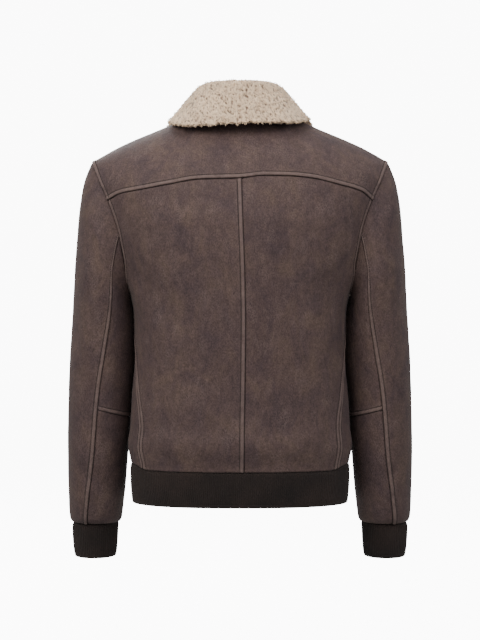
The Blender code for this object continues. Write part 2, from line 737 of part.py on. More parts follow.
def material(finish):
    made = bpy.data.materials.get(finish)
    if made:
        return made
    made = bpy.data.materials.new(finish)
    made.use_nodes = True
    shader = made.node_tree.nodes["Principled BSDF"]
    colour, roughness, metallic = FINISHES[finish]
    shader.inputs["Base Color"].default_value = (*colour, 1.0)
    shader.inputs["Roughness"].default_value = roughness
    shader.inputs["Metallic"].default_value = metallic
    return made


def finished(name, mesh, finish):
    bmesh.ops.recalc_face_normals(mesh, faces=mesh.faces)
    if mesh.calc_volume(signed=True) < 0:
        bmesh.ops.reverse_faces(mesh, faces=mesh.faces)
    data = bpy.data.meshes.new(name)
    mesh.to_mesh(data)
    mesh.free()
    data.shade_smooth()
    data.set_sharp_from_angle(angle=math.radians(40))
    data.materials.append(material(finish))
    made = bpy.data.objects.new(name, data)
    bpy.data.collections[NAME].objects.link(made)
    return made


def loft(mesh, sections, capped=False, closed=False):
    """Faces between neighbouring closed sections, with a cap on each end."""
    rounds = list(zip(sections, sections[1:]))
    if closed:
        rounds.append((sections[-1], sections[0]))
    for one, two in rounds:
        for i in range(len(one)):
            j = (i + 1) % len(one)
            mesh.faces.new((one[i], one[j], two[j], two[i]))
    if capped:
        mesh.faces.new(sections[0])
        mesh.faces.new(list(reversed(sections[-1])))
        ends = [face for face in mesh.faces if len(face.verts) > 4]
        bmesh.ops.triangulate(mesh, faces=ends)


def cloth(patches):
    """An open surface of welded patches. Each point keeps its wall direction and its rise."""
    mesh = bmesh.new()
    across = mesh.verts.layers.float_vector.new("across")
    raised = mesh.verts.layers.float.new("raised")
    for patch in patches:
        size = (len(patch[0]) - 1, len(patch) - 1)
        grid = bmesh.ops.create_grid(mesh, x_segments=size[0], y_segments=size[1], size=1)
        stations = [station for row in patch for station in row]
        for vert, station in zip(grid["verts"], stations):
            vert.co = station.point
            vert[across] = station.normal
            vert[raised] = station.raised
    bmesh.ops.remove_doubles(mesh, verts=mesh.verts, dist=WELD)
    return mesh


def share_seams(cloths):
    """Where pieces meet, their walls take one common direction, half-way between the cloth on
    either side of the seam. Pieces that lie in one surface there count once."""
    borders = []
    for mesh in cloths.values():
        layer = mesh.verts.layers.float_vector["across"]
        borders += [(v, v.co.copy(), v[layer].copy(), layer) for v in mesh.verts if v.is_boundary]
    tree = KDTree(len(borders))
    for i, (_, place, _, _) in enumerate(borders):
        tree.insert(place, i)
    tree.balance()
    for vert, place, _, layer in borders:
        sides = []
        for i in sorted(i for _, i, _ in tree.find_range(place, 2 * WELD)):
            if all(borders[i][2].dot(other) < SAME_WAY for other in sides):
                sides.append(borders[i][2])
        vert[layer] = sum(sides, Vector()).normalized()


def drawn_in(mesh):
    """How each border point moves to leave half a seam gap, square to the border."""
    layer = mesh.verts.layers.float_vector["across"]
    moves = {}
    for vert in mesh.verts:
        if not vert.is_boundary:
            continue
        inward = []
        for edge in vert.link_edges:
            if not edge.is_boundary:
                continue
            run = (edge.other_vert(vert).co - vert.co).normalized()
            square = run.cross(vert[layer]).normalized()
            middle = (edge.verts[0].co + edge.verts[1].co) / 2
            if square.dot(edge.link_faces[0].calc_center_median() - middle) < 0:
                square.negate()
            inward.append(square)
        one, two = inward
        moves[vert] = (one + two) * (SEAM_GAP / 2 / max(1 + one.dot(two), 0.3))
    return moves


def split_edges(mesh, inner):
    """Halves each face along the cut edge of the cloth the same way on both sides of a seam,
    so that two twisted faces there don't cross."""
    for face in list(mesh.faces):
        ends = [vert for vert in face.verts if vert not in inner]
        if len(ends) != 2 or len(face.verts) != 4:
            continue
        start = max(ends, key=lambda vert: vert.co.dot(Vector(SPLIT_FROM)))
        corner = list(face.verts).index(start)
        bmesh.utils.face_split(face, start, face.verts[(corner + 2) % 4])


def walled(name, mesh, finish, wall=WALL):
    """Gives an open surface its wall: plain inside, with its welts raised outside."""
    across = mesh.verts.layers.float_vector["across"]
    raised = mesh.verts.layers.float["raised"]
    moves = drawn_in(mesh)
    lifts = {vert: vert[across] * fold_height(vert.co) for vert in mesh.verts}
    for vert in mesh.verts:
        vert.co += lifts[vert] + moves.get(vert, Vector())
    outer = list(mesh.verts)
    grown = bmesh.ops.extrude_face_region(mesh, geom=mesh.faces[:])
    inner = {item for item in grown["geom"] if isinstance(item, bmesh.types.BMVert)}
    split_edges(mesh, inner)
    for vert in inner:
        vert.co -= vert[across] * wall
    for vert in outer:
        vert.co += vert[across] * vert[raised]
    return finished(name, mesh, finish)


# ---------------------------------------------------------------- zip


def front_edge():
    """The middle of the closed front from the hem up, as points and outward directions."""
    hem = [row[0] for row in reversed(hem_patch())]
    lower = [row[0] for row in reversed(lower_patch(FRONT_COLUMNS, 1, -1, False))]
    upper = [row[0] for row in front_upper_patch(1)]
    line = []
    for station in hem + lower[1:] + upper[1:]:
        point = Vector((0, station.point.y, station.point.z))
        out = Vector((0, station.normal.y, station.normal.z)).normalized()
        line.append((point, out))
    return line


def zip_object():
    """Both tapes and the closed chain, as one strip behind the front edges."""
    behind = WALL + ZIP_CLEARANCE
    outline = (
        (-TAPE_HALF_WIDTH, behind),
        (-CHAIN_FOOT, behind),
        (-CHAIN_HALF_WIDTH, CHAIN_SINK),
        (CHAIN_HALF_WIDTH, CHAIN_SINK),
        (CHAIN_FOOT, behind),
        (TAPE_HALF_WIDTH, behind),
        (TAPE_HALF_WIDTH, behind + TAPE_THICK),
        (-TAPE_HALF_WIDTH, behind + TAPE_THICK),
    )
    mesh = bmesh.new()
    sections = []
    line = front_edge()
    (low, low_out), (high, high_out) = line[-2:]
    line[-1] = (high.lerp(low, ZIP_TOP_SHARE), high_out.lerp(low_out, ZIP_TOP_SHARE).normalized())
    for middle, out in line:
        places = [middle - out * depth + Vector((x, 0, 0)) for x, depth in outline]
        sections.append([mesh.verts.new(place) for place in places])
    loft(mesh, sections, capped=True)
    return finished("zip_tape_and_chain", mesh, "zip")


def slider_frame():
    """Where the slider sits on the chain: its middle, outward direction and down the zip."""
    line = front_edge()
    for (low, low_out), (high, high_out) in zip(line, line[1:]):
        if low.z <= SLIDER_LEVEL <= high.z:
            share = (SLIDER_LEVEL - low.z) / (high.z - low.z)
            down = (low - high).normalized()
            return low.lerp(high, share), Vector((0, down.z, -down.y)).normalized(), down
    return None


def zip_turn(out, down):
    """Turns a piece made with X across, Y outward and Z down the zip to lie on the zip."""
    return Matrix((Vector((1, 0, 0)), out, down)).transposed().to_4x4()


def plate(outline, thick, axes):
    """A flat outline with any holes, given thickness. Axes say where its own X, Y, Z point."""
    curve = bpy.data.curves.new("outline", "CURVE")
    curve.dimensions = "2D"
    curve.fill_mode = "BOTH"
    curve.extrude = thick / 2
    for ring in outline:
        spline = curve.splines.new("POLY")
        spline.points.add(len(ring) - 1)
        for point, (x, y) in zip(spline.points, ring):
            point.co = (x, y, 0, 1)
        spline.use_cyclic_u = True
    holder = bpy.data.objects.new("outline", curve)
    bpy.context.scene.collection.objects.link(holder)
    graph = bpy.context.evaluated_depsgraph_get()
    data = bpy.data.meshes.new_from_object(holder.evaluated_get(graph))
    bpy.data.objects.remove(holder)
    mesh = bmesh.new()
    mesh.from_mesh(data)
    bmesh.ops.remove_doubles(mesh, verts=mesh.verts, dist=WELD)
    bmesh.ops.transform(mesh, matrix=Matrix(axes).transposed().to_4x4(), verts=mesh.verts)
    return mesh


def slider_object():
    """The slider's body, with the bridge that holds the pull tab joined to it."""
    middle, out, down = slider_frame()
    foot = SEAM_GAP - CHAIN_SINK
    top = foot + SLIDER_THICK
    half = BRIDGE_LONG / 2
    crest = top + BRIDGE_ROOM + BRIDGE_WIRE
    sunk = top - SLIDER_THICK / 2
    arch = ((sunk, -half), (top, -half), (crest, -half + BRIDGE_WIRE))
    arch += ((crest, half - BRIDGE_WIRE), (top, half), (sunk, half))
    room = half - BRIDGE_LEG
    eye = ((top, -room), (crest - BRIDGE_WIRE, -room), (crest - BRIDGE_WIRE, room), (top, room))
    across_x = ((0, 1, 0), (0, 0, 1), (1, 0, 0))
    bridge_mesh = plate((arch, eye), BRIDGE_WIDE, across_x)
    bmesh.ops.transform(bridge_mesh, matrix=zip_turn(out, down), verts=bridge_mesh.verts)
    bridge = finished("slider_bridge", bridge_mesh, "metal")
    bridge.location = middle
    bpy.data.collections[NAME].objects.unlink(bridge)
    bpy.data.collections[CUTTERS].objects.link(bridge)
    bridge.hide_render = True
    bridge.display_type = "WIRE"

    mesh = bmesh.new()
    slab = bmesh.ops.create_cube(mesh, size=1)
    for vert in slab["verts"]:
        vert.co.x *= SLIDER_WIDE
        vert.co.y = vert.co.y * SLIDER_THICK + (foot + top) / 2
        vert.co.z *= SLIDER_LONG
    bmesh.ops.transform(mesh, matrix=zip_turn(out, down), verts=mesh.verts)
    slider = finished("zip_slider", mesh, "metal")
    slider.location = middle
    joined = slider.modifiers.new("bridge", "BOOLEAN")
    joined.operation = "UNION"
    joined.object = bridge
    return slider


def pull_tab_object():
    """The pull tab, made round its own swinging axis under the bridge."""
    middle, out, down = slider_frame()
    axis = middle + out * (SEAM_GAP - CHAIN_SINK + SLIDER_THICK + BRIDGE_ROOM / 2)
    wide = TAB_WIDE / 2
    round_end = []
    for step in range(9):
        turn = math.pi * step / 8
        round_end.append((wide * math.cos(turn), TAB_LONG - wide + wide * math.sin(turn)))
    outline = [(wide, -TAB_BAR / 2)] + round_end + [(-wide, -TAB_BAR / 2)]
    eye = [
        (TAB_EYE / 2, TAB_BAR / 2),
        (TAB_EYE / 2, TAB_EYE_END),
        (-TAB_EYE / 2, TAB_EYE_END),
        (-TAB_EYE / 2, TAB_BAR / 2),
    ]
    in_the_face = ((1, 0, 0), (0, 0, 1), (0, -1, 0))
    mesh = plate((outline, eye), TAB_THICK, in_the_face)
    bmesh.ops.transform(mesh, matrix=zip_turn(out, down), verts=mesh.verts)
    tab = finished("zip_pull_tab", mesh, "metal")
    tab.location = axis
    return tab


# ---------------------------------------------------------------- the whole jacket


def clear_scene():
    for item in list(bpy.data.objects):
        bpy.data.objects.remove(item)


def make_cloths():
    left_across = YOKE_COLUMNS_LEFT + EDGE_COLUMNS
    right_across = YOKE_COLUMNS_RIGHT + EDGE_COLUMNS
    cloths = {
        "yoke": cloth([yoke_patch(left_across, 1), yoke_patch(right_across, -1)]),
        "back_left": cloth([lower_patch(left_across, 1, 1, True)]),
        "back_right": cloth([lower_patch(right_across, -1, 1, False)]),
        "hem_rib": cloth([hem_patch()]),
    }
    welt_turns = (BACK_SLEEVE_SEAM, BACK_SLEEVE_SEAM - WELT_TURN)
    all_rows = SLEEVE_ROWS_UPPER + SLEEVE_ROWS_LOWER[1:]
    for label, hand in (("left", 1), ("right", -1)):
        lower = lower_patch(FRONT_COLUMNS, hand, -1, False)
        cloths[f"front_{label}"] = cloth([lower, front_upper_patch(hand)])
        top = sleeve_patch(top_sleeve_turns(), all_rows, hand, welt_turns)
        cloths[f"top_sleeve_{label}"] = cloth([top])
        turns = under_sleeve_turns()
        upper = sleeve_patch(turns, SLEEVE_ROWS_UPPER, hand, (), SLEEVE_ROWS_UPPER[-2:])
        cloths[f"under_sleeve_upper_{label}"] = cloth([upper])
        cloths[f"under_sleeve_lower_{label}"] = cloth([sleeve_patch(turns, SLEEVE_ROWS_LOWER, hand)])
        cloths[f"cuff_{label}"] = cloth([cuff_patch(hand)])
    return cloths


def build():
    clear_scene()
    for collection in (NAME, CUTTERS):
        bpy.context.scene.collection.children.link(bpy.data.collections.new(collection))
    cloths = make_cloths()
    share_seams(cloths)
    for name, mesh in cloths.items():
        knit = name.startswith(("cuff", "hem"))
        walled(name, mesh, "knit" if knit else "leather")
    collar_object()
    zip_object()
    slider_object()
    pull_tab_object()


build()
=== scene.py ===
"""A shearling leather blouson in the form it takes when it is worn, seen from behind."""

import math
from collections import namedtuple

import bmesh
import bpy
import numpy as np
from mathutils import Matrix, Vector, noise


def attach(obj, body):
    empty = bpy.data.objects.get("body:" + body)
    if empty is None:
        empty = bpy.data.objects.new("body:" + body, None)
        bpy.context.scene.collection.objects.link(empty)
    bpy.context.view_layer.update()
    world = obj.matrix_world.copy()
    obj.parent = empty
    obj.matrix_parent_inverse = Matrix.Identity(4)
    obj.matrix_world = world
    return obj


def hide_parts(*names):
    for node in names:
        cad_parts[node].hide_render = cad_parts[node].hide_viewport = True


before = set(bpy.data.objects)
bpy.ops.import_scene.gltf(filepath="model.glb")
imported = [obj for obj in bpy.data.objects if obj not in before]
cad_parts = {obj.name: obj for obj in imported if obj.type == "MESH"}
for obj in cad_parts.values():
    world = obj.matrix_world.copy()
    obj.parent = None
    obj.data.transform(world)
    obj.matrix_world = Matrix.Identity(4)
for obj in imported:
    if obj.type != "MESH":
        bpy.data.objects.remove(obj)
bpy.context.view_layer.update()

# ---------------------------------------------------------------- studio
# A white paper floor that sweeps up far behind the jacket all round, which hangs clear of it,
# with a large soft light high on the left and a weaker one on the right.


class Finish:
    """A material in the making, with short ways to add nodes to it and to join them."""

    def __init__(self, name, **surface):
        self.material = bpy.data.materials.new(name)
        self.material.use_nodes = True
        self.tree = self.material.node_tree
        self.shader = self.set(self.tree.nodes["Principled BSDF"], surface)

    def set(self, item, values):
        for socket, value in values.items():
            item.inputs[socket.replace("_", " ")].default_value = value
        return item

    def join(self, end, *links):
        """Link outputs to the end node. Each link is a start node, its output and an input."""
        for start, out, into in links:
            self.tree.links.new(start.outputs[out], end.inputs[into])
        return end

    def add(self, kind, *links, **values):
        """A fresh node with its values set, an underscore standing for a space, and its links."""
        return self.join(self.set(self.tree.nodes.new("ShaderNode" + kind), values), *links)

    def attribute(self, name):
        item = self.add("Attribute")
        item.attribute_name = name
        return item

    def combine(self, operation, *parts):
        item = self.add("Math", *((start, out, i) for i, (start, out) in enumerate(parts)))
        item.operation = operation
        return item

    def scaled(self, start, out, share, share_out):
        item = self.add("VectorMath")
        item.operation = "SCALE"
        return self.join(item, (start, out, 0), (share, share_out, "Scale"))

    def blend(self, start, out, colour, share, share_out):
        item = self.add("Mix")
        item.data_type = "RGBA"
        item.inputs["B"].default_value = (*colour, 1)
        return self.join(item, (start, out, "A"), (share, share_out, "Factor"))

    def span(self, start, out, low, high, to_low, to_high):
        ends = {"From_Min": low, "From_Max": high, "To_Min": to_low, "To_Max": to_high}
        return self.add("MapRange", (start, out, "Value"), **ends)

    def tones(self, start, out, *stops):
        """A colour ramp. Each stop is a position and its red, green and blue, from low to high."""
        item = self.add("ValToRGB", (start, out, "Fac"))
        ramp = item.color_ramp.elements
        for end in (0, -1):
            ramp[end].position, ramp[end].color = stops[end][0], (*stops[end][1], 1)
        for position, colour in stops[1:-1]:
            ramp.new(position).color = (*colour, 1)
        return item

    def bump(self, strength, distance, start, out, under=None):
        item = self.add("Bump", (start, out, "Height"), Strength=strength, Distance=distance)
        return self.join(item, (under, "Normal", "Normal")) if under else item


def make_piece(name, mesh, *finishes):
    """A smooth object at the origin from a finished bmesh."""
    data = bpy.data.meshes.new(name)
    mesh.to_mesh(data)
    mesh.free()
    data.shade_smooth()
    for finish in finishes:
        data.materials.append(finish)
    piece = bpy.data.objects.new(name, data)
    bpy.context.scene.collection.objects.link(piece)
    return piece


def area_light(name, place, aim, size, power, colour):
    lamp = bpy.data.lights.new(name, "AREA")
    lamp.shape = "RECTANGLE"
    lamp.size, lamp.size_y = size
    lamp.energy = power
    lamp.color = colour
    holder = bpy.data.objects.new(name, lamp)
    holder.location = place
    holder.rotation_euler = (Vector(aim) - Vector(place)).to_track_quat("-Z", "Y").to_euler()
    bpy.context.scene.collection.objects.link(holder)


area_light("key_light", (1.4, 1.8, 1.4), (0, 0, -0.15), (1.4, 1.4), 62, (1.0, 0.97, 0.93))
area_light("fill_light", (-1.4, 1.8, 1.3), (0, 0, -0.1), (1.8, 1.8), 32, (0.99, 0.97, 0.98))
area_light("top_light", (0.1, 0.3, 1.9), (0, 0, -0.2), (1.4, 1.0), 14, (1.0, 1.0, 1.0))
area_light("front_light", (0.6, -2.2, 1.2), (0, 0, -0.3), (1.5, 1.5), 45, (1.0, 1.0, 1.0))

world = bpy.data.worlds.new("studio_air")
world.use_nodes = True
world.node_tree.nodes["Background"].inputs["Color"].default_value = (1, 1, 1, 1)
world.node_tree.nodes["Background"].inputs["Strength"].default_value = 0.47
bpy.context.scene.world = world

eye = bpy.data.cameras.new("camera")
eye.sensor_fit = "VERTICAL"
eye.sensor_height = 36
eye.lens = 84.375
camera = bpy.data.objects.new("camera", eye)
camera.location = (0, 2.4, -0.325)
camera.rotation_euler = (math.pi / 2, 0, math.pi)
bpy.context.scene.collection.objects.link(camera)
bpy.context.scene.camera = camera

FLOOR_LEVEL = -0.95
FLOOR_REACH = 6.0  # the radius at which the paper begins to rise
BEND_RADIUS = 2.0
paper = bmesh.new()
bmesh.ops.create_grid(paper, x_segments=64, y_segments=24, size=1)
for vert in paper.verts:
    turn = math.pi * vert.co.x
    run = (1 + vert.co.y) * (FLOOR_REACH + BEND_RADIUS)
    bend = min(max(run - FLOOR_REACH, 0) / BEND_RADIUS, math.pi / 2)
    reach = min(run, FLOOR_REACH) + BEND_RADIUS * math.sin(bend)
    climb = BEND_RADIUS * (1 - math.cos(bend)) + max(run - FLOOR_REACH - math.pi, 0)
    vert.co = (reach * math.cos(turn), reach * math.sin(turn), FLOOR_LEVEL + climb)
bmesh.ops.remove_doubles(paper, verts=paper.verts, dist=0.001)
bmesh.ops.recalc_face_normals(paper, faces=paper.faces)
white_paper = Finish(
    "white_paper",
    Base_Color=(0.9, 0.9, 0.9, 1),
    Roughness=0.9,
    Emission_Color=(1, 1, 1, 1),
    Emission_Strength=10.0,
)
sweep = make_piece("paper_sweep", paper, white_paper.material)
sweep.visible_diffuse = False
sweep.visible_glossy = False
sweep.visible_shadow = False

# ---------------------------------------------------------------- leather back
# Two panels of sheepskin, skin side out, joined down the middle. The left one laps over the
# right and is stitched through. They hang from the yoke and bag out a little over the rib.

Ring = namedtuple("Ring", "level half_width back front")
BODY = (
    Ring(-0.6120, 0.1722, 0.1040, 0.1040),
    Ring(-0.5850, 0.1738, 0.1075, 0.1075),
    Ring(-0.5570, 0.1742, 0.1090, 0.1090),
    Ring(-0.5000, 0.1750, 0.1165, 0.1160),
    Ring(-0.4450, 0.1722, 0.1190, 0.1190),
    Ring(-0.4080, 0.1690, 0.1210, 0.1215),
    Ring(-0.3710, 0.1672, 0.1240, 0.1240),
    Ring(-0.3160, 0.1692, 0.1280, 0.1265),
    Ring(-0.2880, 0.1740, 0.1300, 0.1280),
    Ring(-0.2500, 0.1872, 0.1325, 0.1290),
    Ring(-0.2100, 0.2005, 0.1340, 0.1290),
    Ring(-0.1800, 0.2090, 0.1340, 0.1260),
    Ring(-0.1410, 0.2229, 0.1280, 0.1200),
    Ring(-0.1050, 0.2331, 0.1200, 0.1120),
    Ring(-0.0736, 0.2365, 0.1100, 0.1000),
)
RING_POWER = 2.4
RIB_SEAM_LEVEL = -0.5570
SHOULDER_LEVEL = -0.0736
UNDERARM_LEVEL = -0.2880
ARMHOLE_HALF_DEPTH = 0.0680
YOKE_END = 66.8
SeamPoint = namedtuple("SeamPoint", "x level")  # from the right armhole to the left
YOKE_SEAM = (
    SeamPoint(-0.2060, -0.1386),
    SeamPoint(-0.1880, -0.1262),
    SeamPoint(-0.1536, -0.1176),
    SeamPoint(-0.1140, -0.1091),
    SeamPoint(-0.0745, -0.1054),
    SeamPoint(-0.0365, -0.1050),
    SeamPoint(0.0000, -0.1090),
    SeamPoint(0.0608, -0.1107),
    SeamPoint(0.1146, -0.1190),
    SeamPoint(0.1505, -0.1247),
    SeamPoint(0.1850, -0.1298),
    SeamPoint(0.2060, -0.1386),
)
CentrePoint = namedtuple("CentrePoint", "level x")
CENTRE_SEAM = (
    CentrePoint(-0.6120, -0.0060),
    CentrePoint(-0.5570, -0.0061),
    CentrePoint(-0.3400, -0.0080),
    CentrePoint(-0.1085, -0.0015),
)
SideSeam = namedtuple("SideSeam", "level angle")
SIDE_SEAM = (
    SideSeam(-0.6120, 66.5),
    SideSeam(-0.5570, 66.5),
    SideSeam(-0.4950, 66.0),
    SideSeam(-0.4430, 70.0),
    SideSeam(-0.3700, 80.0),
    SideSeam(-0.3110, 90.0),
    SideSeam(-0.2880, 90.0),
)
ZIP_HALF_GAP = 0.0070
WALL = 0.0028
BAG_START, BAG_RUN = 0.140, 0.034  # where the lower edge begins to rise towards the sides
BAG_LOW, BAG_HIGH = -0.0022, 0.0055
BULGE_HEIGHT = 0.066  # how far above the rib the leather bags out
BULGE_BACK, BULGE_FRONT = 0.0038, 0.0035
ROUND_SHARE = 0.42  # the armhole's part of a panel's outer edge
TRUNK = (0.0, 0.0, -0.34)  # a point inside the body

# Worn folds of the cloth, each a soft ridge, or below zero a trough, along a line.
Fold = namedtuple("Fold", "start end width height")
FOLDS = (
    Fold((0.178, 0.060, -0.225), (0.085, 0.125, -0.330), 0.017, -0.0022),
    Fold((-0.180, 0.060, -0.225), (-0.100, 0.122, -0.300), 0.015, -0.0020),
    Fold((0.172, 0.050, -0.262), (0.115, 0.112, -0.370), 0.013, 0.0018),
    Fold((-0.172, 0.050, -0.255), (-0.125, 0.108, -0.385), 0.014, 0.0020),
    Fold((0.150, 0.085, -0.505), (0.060, 0.115, -0.520), 0.014, 0.0020),
    Fold((-0.155, 0.080, -0.490), (-0.075, 0.115, -0.512), 0.013, 0.0018),
    Fold((0.030, 0.122, -0.490), (-0.045, 0.120, -0.515), 0.015, 0.0014),
    Fold((0.165, -0.075, -0.230), (0.075, -0.125, -0.320), 0.016, -0.0024),
    Fold((-0.165, -0.075, -0.230), (-0.085, -0.123, -0.345), 0.016, -0.0024),
    Fold((0.160, -0.070, -0.480), (0.070, -0.113, -0.515), 0.014, 0.0022),
    Fold((-0.155, -0.075, -0.500), (-0.060, -0.113, -0.520), 0.014, 0.0020),
    Fold((0.262, -0.045, -0.440), (0.205, -0.078, -0.475), 0.011, -0.0024),
    Fold((-0.262, -0.045, -0.435), (-0.208, -0.078, -0.462), 0.011, -0.0022),
    Fold((0.268, -0.035, -0.485), (0.215, -0.078, -0.510), 0.010, -0.0018),
    Fold((-0.268, -0.035, -0.490), (-0.215, -0.078, -0.505), 0.010, -0.0020),
    Fold((0.262, 0.030, -0.590), (0.215, 0.022, -0.612), 0.011, 0.0020),
    Fold((-0.262, 0.030, -0.582), (-0.215, 0.022, -0.610), 0.011, 0.0020),
    Fold((0.246, 0.045, -0.165), (0.222, 0.066, -0.235), 0.013, -0.0018),
    Fold((-0.246, 0.045, -0.165), (-0.224, 0.066, -0.225), 0.013, -0.0018),
    # smaller creases between them
    Fold((0.120, 0.105, -0.535), (0.070, 0.112, -0.548), 0.008, -0.0010),
    Fold((0.090, 0.110, -0.480), (0.050, 0.118, -0.535), 0.010, 0.0008),
    Fold((-0.100, 0.110, -0.540), (-0.030, 0.114, -0.549), 0.008, -0.0010),
    Fold((-0.110, 0.108, -0.470), (-0.080, 0.112, -0.540), 0.010, 0.0008),
    Fold((0.150, 0.080, -0.430), (0.128, 0.092, -0.535), 0.009, -0.0012),
    Fold((-0.150, 0.080, -0.440), (-0.135, 0.088, -0.530), 0.009, -0.0012),
    Fold((0.060, 0.128, -0.200), (0.050, 0.125, -0.420), 0.026, -0.0010),
    Fold((-0.070, 0.128, -0.190), (-0.060, 0.124, -0.430), 0.028, -0.0010),
    Fold((0.120, 0.100, -0.085), (0.060, 0.112, -0.095), 0.016, 0.0008),
    Fold((-0.130, 0.092, -0.085), (-0.070, 0.110, -0.090), 0.016, 0.0008),
    Fold((0.272, 0.020, -0.300), (0.262, 0.045, -0.420), 0.014, -0.0009),
    Fold((-0.272, 0.020, -0.310), (-0.262, 0.045, -0.430), 0.014, -0.0009),
    Fold((0.268, 0.020, -0.560), (0.240, 0.030, -0.575), 0.009, -0.0009),
    Fold((-0.268, 0.020, -0.552), (-0.240, 0.030, -0.570), 0.009, -0.0009),
    Fold((0.262, -0.010, -0.625), (0.225, 0.005, -0.636), 0.008, -0.0012),
    Fold((-0.262, -0.010, -0.622), (-0.225, 0.005, -0.634), 0.008, -0.0012),
)


def read(rows, column, at):
    """The named column of a table at values of its first column, on a smooth curve."""
    keys = np.array([row[0] for row in rows])
    values = np.array([getattr(row, column) for row in rows])
    at = np.clip(at, keys[0], keys[-1])
    steps = np.diff(values) / np.diff(keys)
    before, after = steps[:-1], steps[1:]
    total = np.where(before * after > 0, before + after, 1)
    inner = np.where(before * after > 0, 2 * before * after / total, 0)
    slopes = np.concatenate((steps[:1], inner, steps[-1:]))
    k = np.clip(np.searchsorted(keys, at, side="right") - 1, 0, len(keys) - 2)
    span = keys[k + 1] - keys[k]
    t = (at - keys[k]) / span
    rise = (2 * t**3 - 3 * t**2 + 1) * values[k] + (3 * t**2 - 2 * t**3) * values[k + 1]
    return rise + span * ((t**3 - 2 * t**2 + t) * slopes[k] + (t**3 - t**2) * slopes[k + 1])


def mix(a, b, t):
    return a + (b - a) * t


def ring_point(angle, level):
    """A point of the body by its angle from the middle of the back, towards the left."""
    angle, level = np.broadcast_arrays(angle, level)
    half_width = read(BODY, "half_width", level)
    back, front = read(BODY, "back", level), read(BODY, "front", level)
    depth = np.where(np.cos(angle) >= 0, back, front)
    across = np.abs(np.sin(angle) / half_width) ** RING_POWER
    along = np.abs(np.cos(angle) / depth) ** RING_POWER
    radius = (across + along) ** (-1 / RING_POWER)
    return np.stack((radius * np.sin(angle), radius * np.cos(angle), level), axis=-1)


def ring_angle(x, level, side):
    half_width = read(BODY, "half_width", level)
    depth = read(BODY, "back" if side > 0 else "front", level)
    inside = np.clip(1 - np.abs(x / half_width) ** RING_POWER, 0, None)
    return np.arctan2(x, side * depth * inside ** (1 / RING_POWER))


def armhole_point(turn):
    """A point of the left armhole by its angle in degrees from the shoulder point backwards."""
    middle = (SHOULDER_LEVEL + UNDERARM_LEVEL) / 2
    level = middle + (SHOULDER_LEVEL - middle) * np.cos(np.radians(turn))
    y = ARMHOLE_HALF_DEPTH * np.sin(np.radians(turn))
    half_width = read(BODY, "half_width", level)
    depth = np.where(y >= 0, read(BODY, "back", level), read(BODY, "front", level))
    x = half_width * (1 - np.abs(y / depth) ** RING_POWER) ** (1 / RING_POWER)
    return np.stack((x, y, level), axis=-1)


def side_angle(level):
    return np.radians(read(SIDE_SEAM, "angle", level))


def middle_angle(level, hand, side):
    if side > 0:
        return ring_angle(read(CENTRE_SEAM, "x", level) * hand, level, side)
    return ring_angle(ZIP_HALF_GAP, level, side)


def outer_edge(corner_turn, share):
    """A panel's outer edge by the share of its run: round the armhole, then the side seam."""
    turn = mix(corner_turn, 180.0, np.clip(share / ROUND_SHARE, 0, 1))
    rim = armhole_point(turn)
    down = np.clip((share - ROUND_SHARE) / (1 - ROUND_SHARE), 0, 1)
    side_level = mix(UNDERARM_LEVEL, RIB_SEAM_LEVEL, down)
    on_rim = share <= ROUND_SHARE
    level = np.where(on_rim, rim[..., 2], side_level)
    angle = np.where(on_rim, np.arctan2(rim[..., 0], rim[..., 1]), side_angle(side_level))
    return level, angle


def bagging(x):
    """How far the leather's lower edge hangs below the rib's seam, or above it at the sides."""
    beside = np.clip((np.abs(x) - BAG_START) / BAG_RUN, 0, 1)
    return mix(BAG_LOW, BAG_HIGH, beside**2 * (3 - 2 * beside))


def body_panel(tops, columns, share, corner_turn, hand, side):
    """A back or front panel from the points of its upper line down to the rib."""
    corner_level, corner_angle = outer_edge(corner_turn, np.array(0.0))
    edge_level, edge_angle = outer_edge(corner_turn, share)
    beside = (corner_level - edge_level) / (corner_level - RIB_SEAM_LEVEL)
    across = columns[None, :]
    down = mix(share[:, None], beside[:, None], across)
    top_level = tops[None, :, 2]
    level = mix(top_level, RIB_SEAM_LEVEL, down)
    begin = middle_angle(top_level, hand, side)
    place = (np.arctan2(tops[None, :, 0] * hand, tops[None, :, 1]) - begin) / (corner_angle - begin)
    place = mix(place, across, down)
    angle = mix(middle_angle(level, hand, side), edge_angle[:, None], place) * hand
    points = ring_point(angle, level)
    bulge = np.clip((level - RIB_SEAM_LEVEL) / BULGE_HEIGHT, 0, 1)
    lift = BULGE_BACK * np.sin(math.pi * bulge) ** 2
    facing = ring_point(angle, level) * np.array((1, 1, 0))
    facing /= np.linalg.norm(facing, axis=-1, keepdims=True)
    points += facing * lift[..., None]
    low = np.clip(1 - (level - RIB_SEAM_LEVEL) / 0.05, 0, 1)
    points[..., 2] += bagging(points[..., 0]) * low**2
    return points


# How far the first rows of points lie from a seam, in millimetres.
SEAM_ROWS = (0, 0.4, 0.8, 1.3, 2, 3.2, 4.6, 5.6, 6.1, 6.5, 6.9, 7.3, 7.8, 8.6, 10, 12.5)


def spaced(curve, start, end, coarse=0.0046, fine_start=True, fine_end=True):
    """Values along a curve that lie close together beside a seam and wider apart inside."""
    close = np.array(SEAM_ROWS) / 1000
    samples = np.linspace(start, end, 300)
    steps = np.linalg.norm(np.diff(curve(samples), axis=0), axis=1)
    lengths = np.concatenate(([0], np.cumsum(steps)))
    total = lengths[-1]
    head = close if fine_start else close[:1]
    tail = close if fine_end else close[:1]
    room = total - head[-1] - tail[-1]
    inside = head[-1] + np.linspace(0, room, max(int(room / coarse), 2) + 1)[1:-1]
    wanted = np.concatenate((head, inside, (total - tail)[::-1]))
    return np.interp(wanted, lengths, samples)


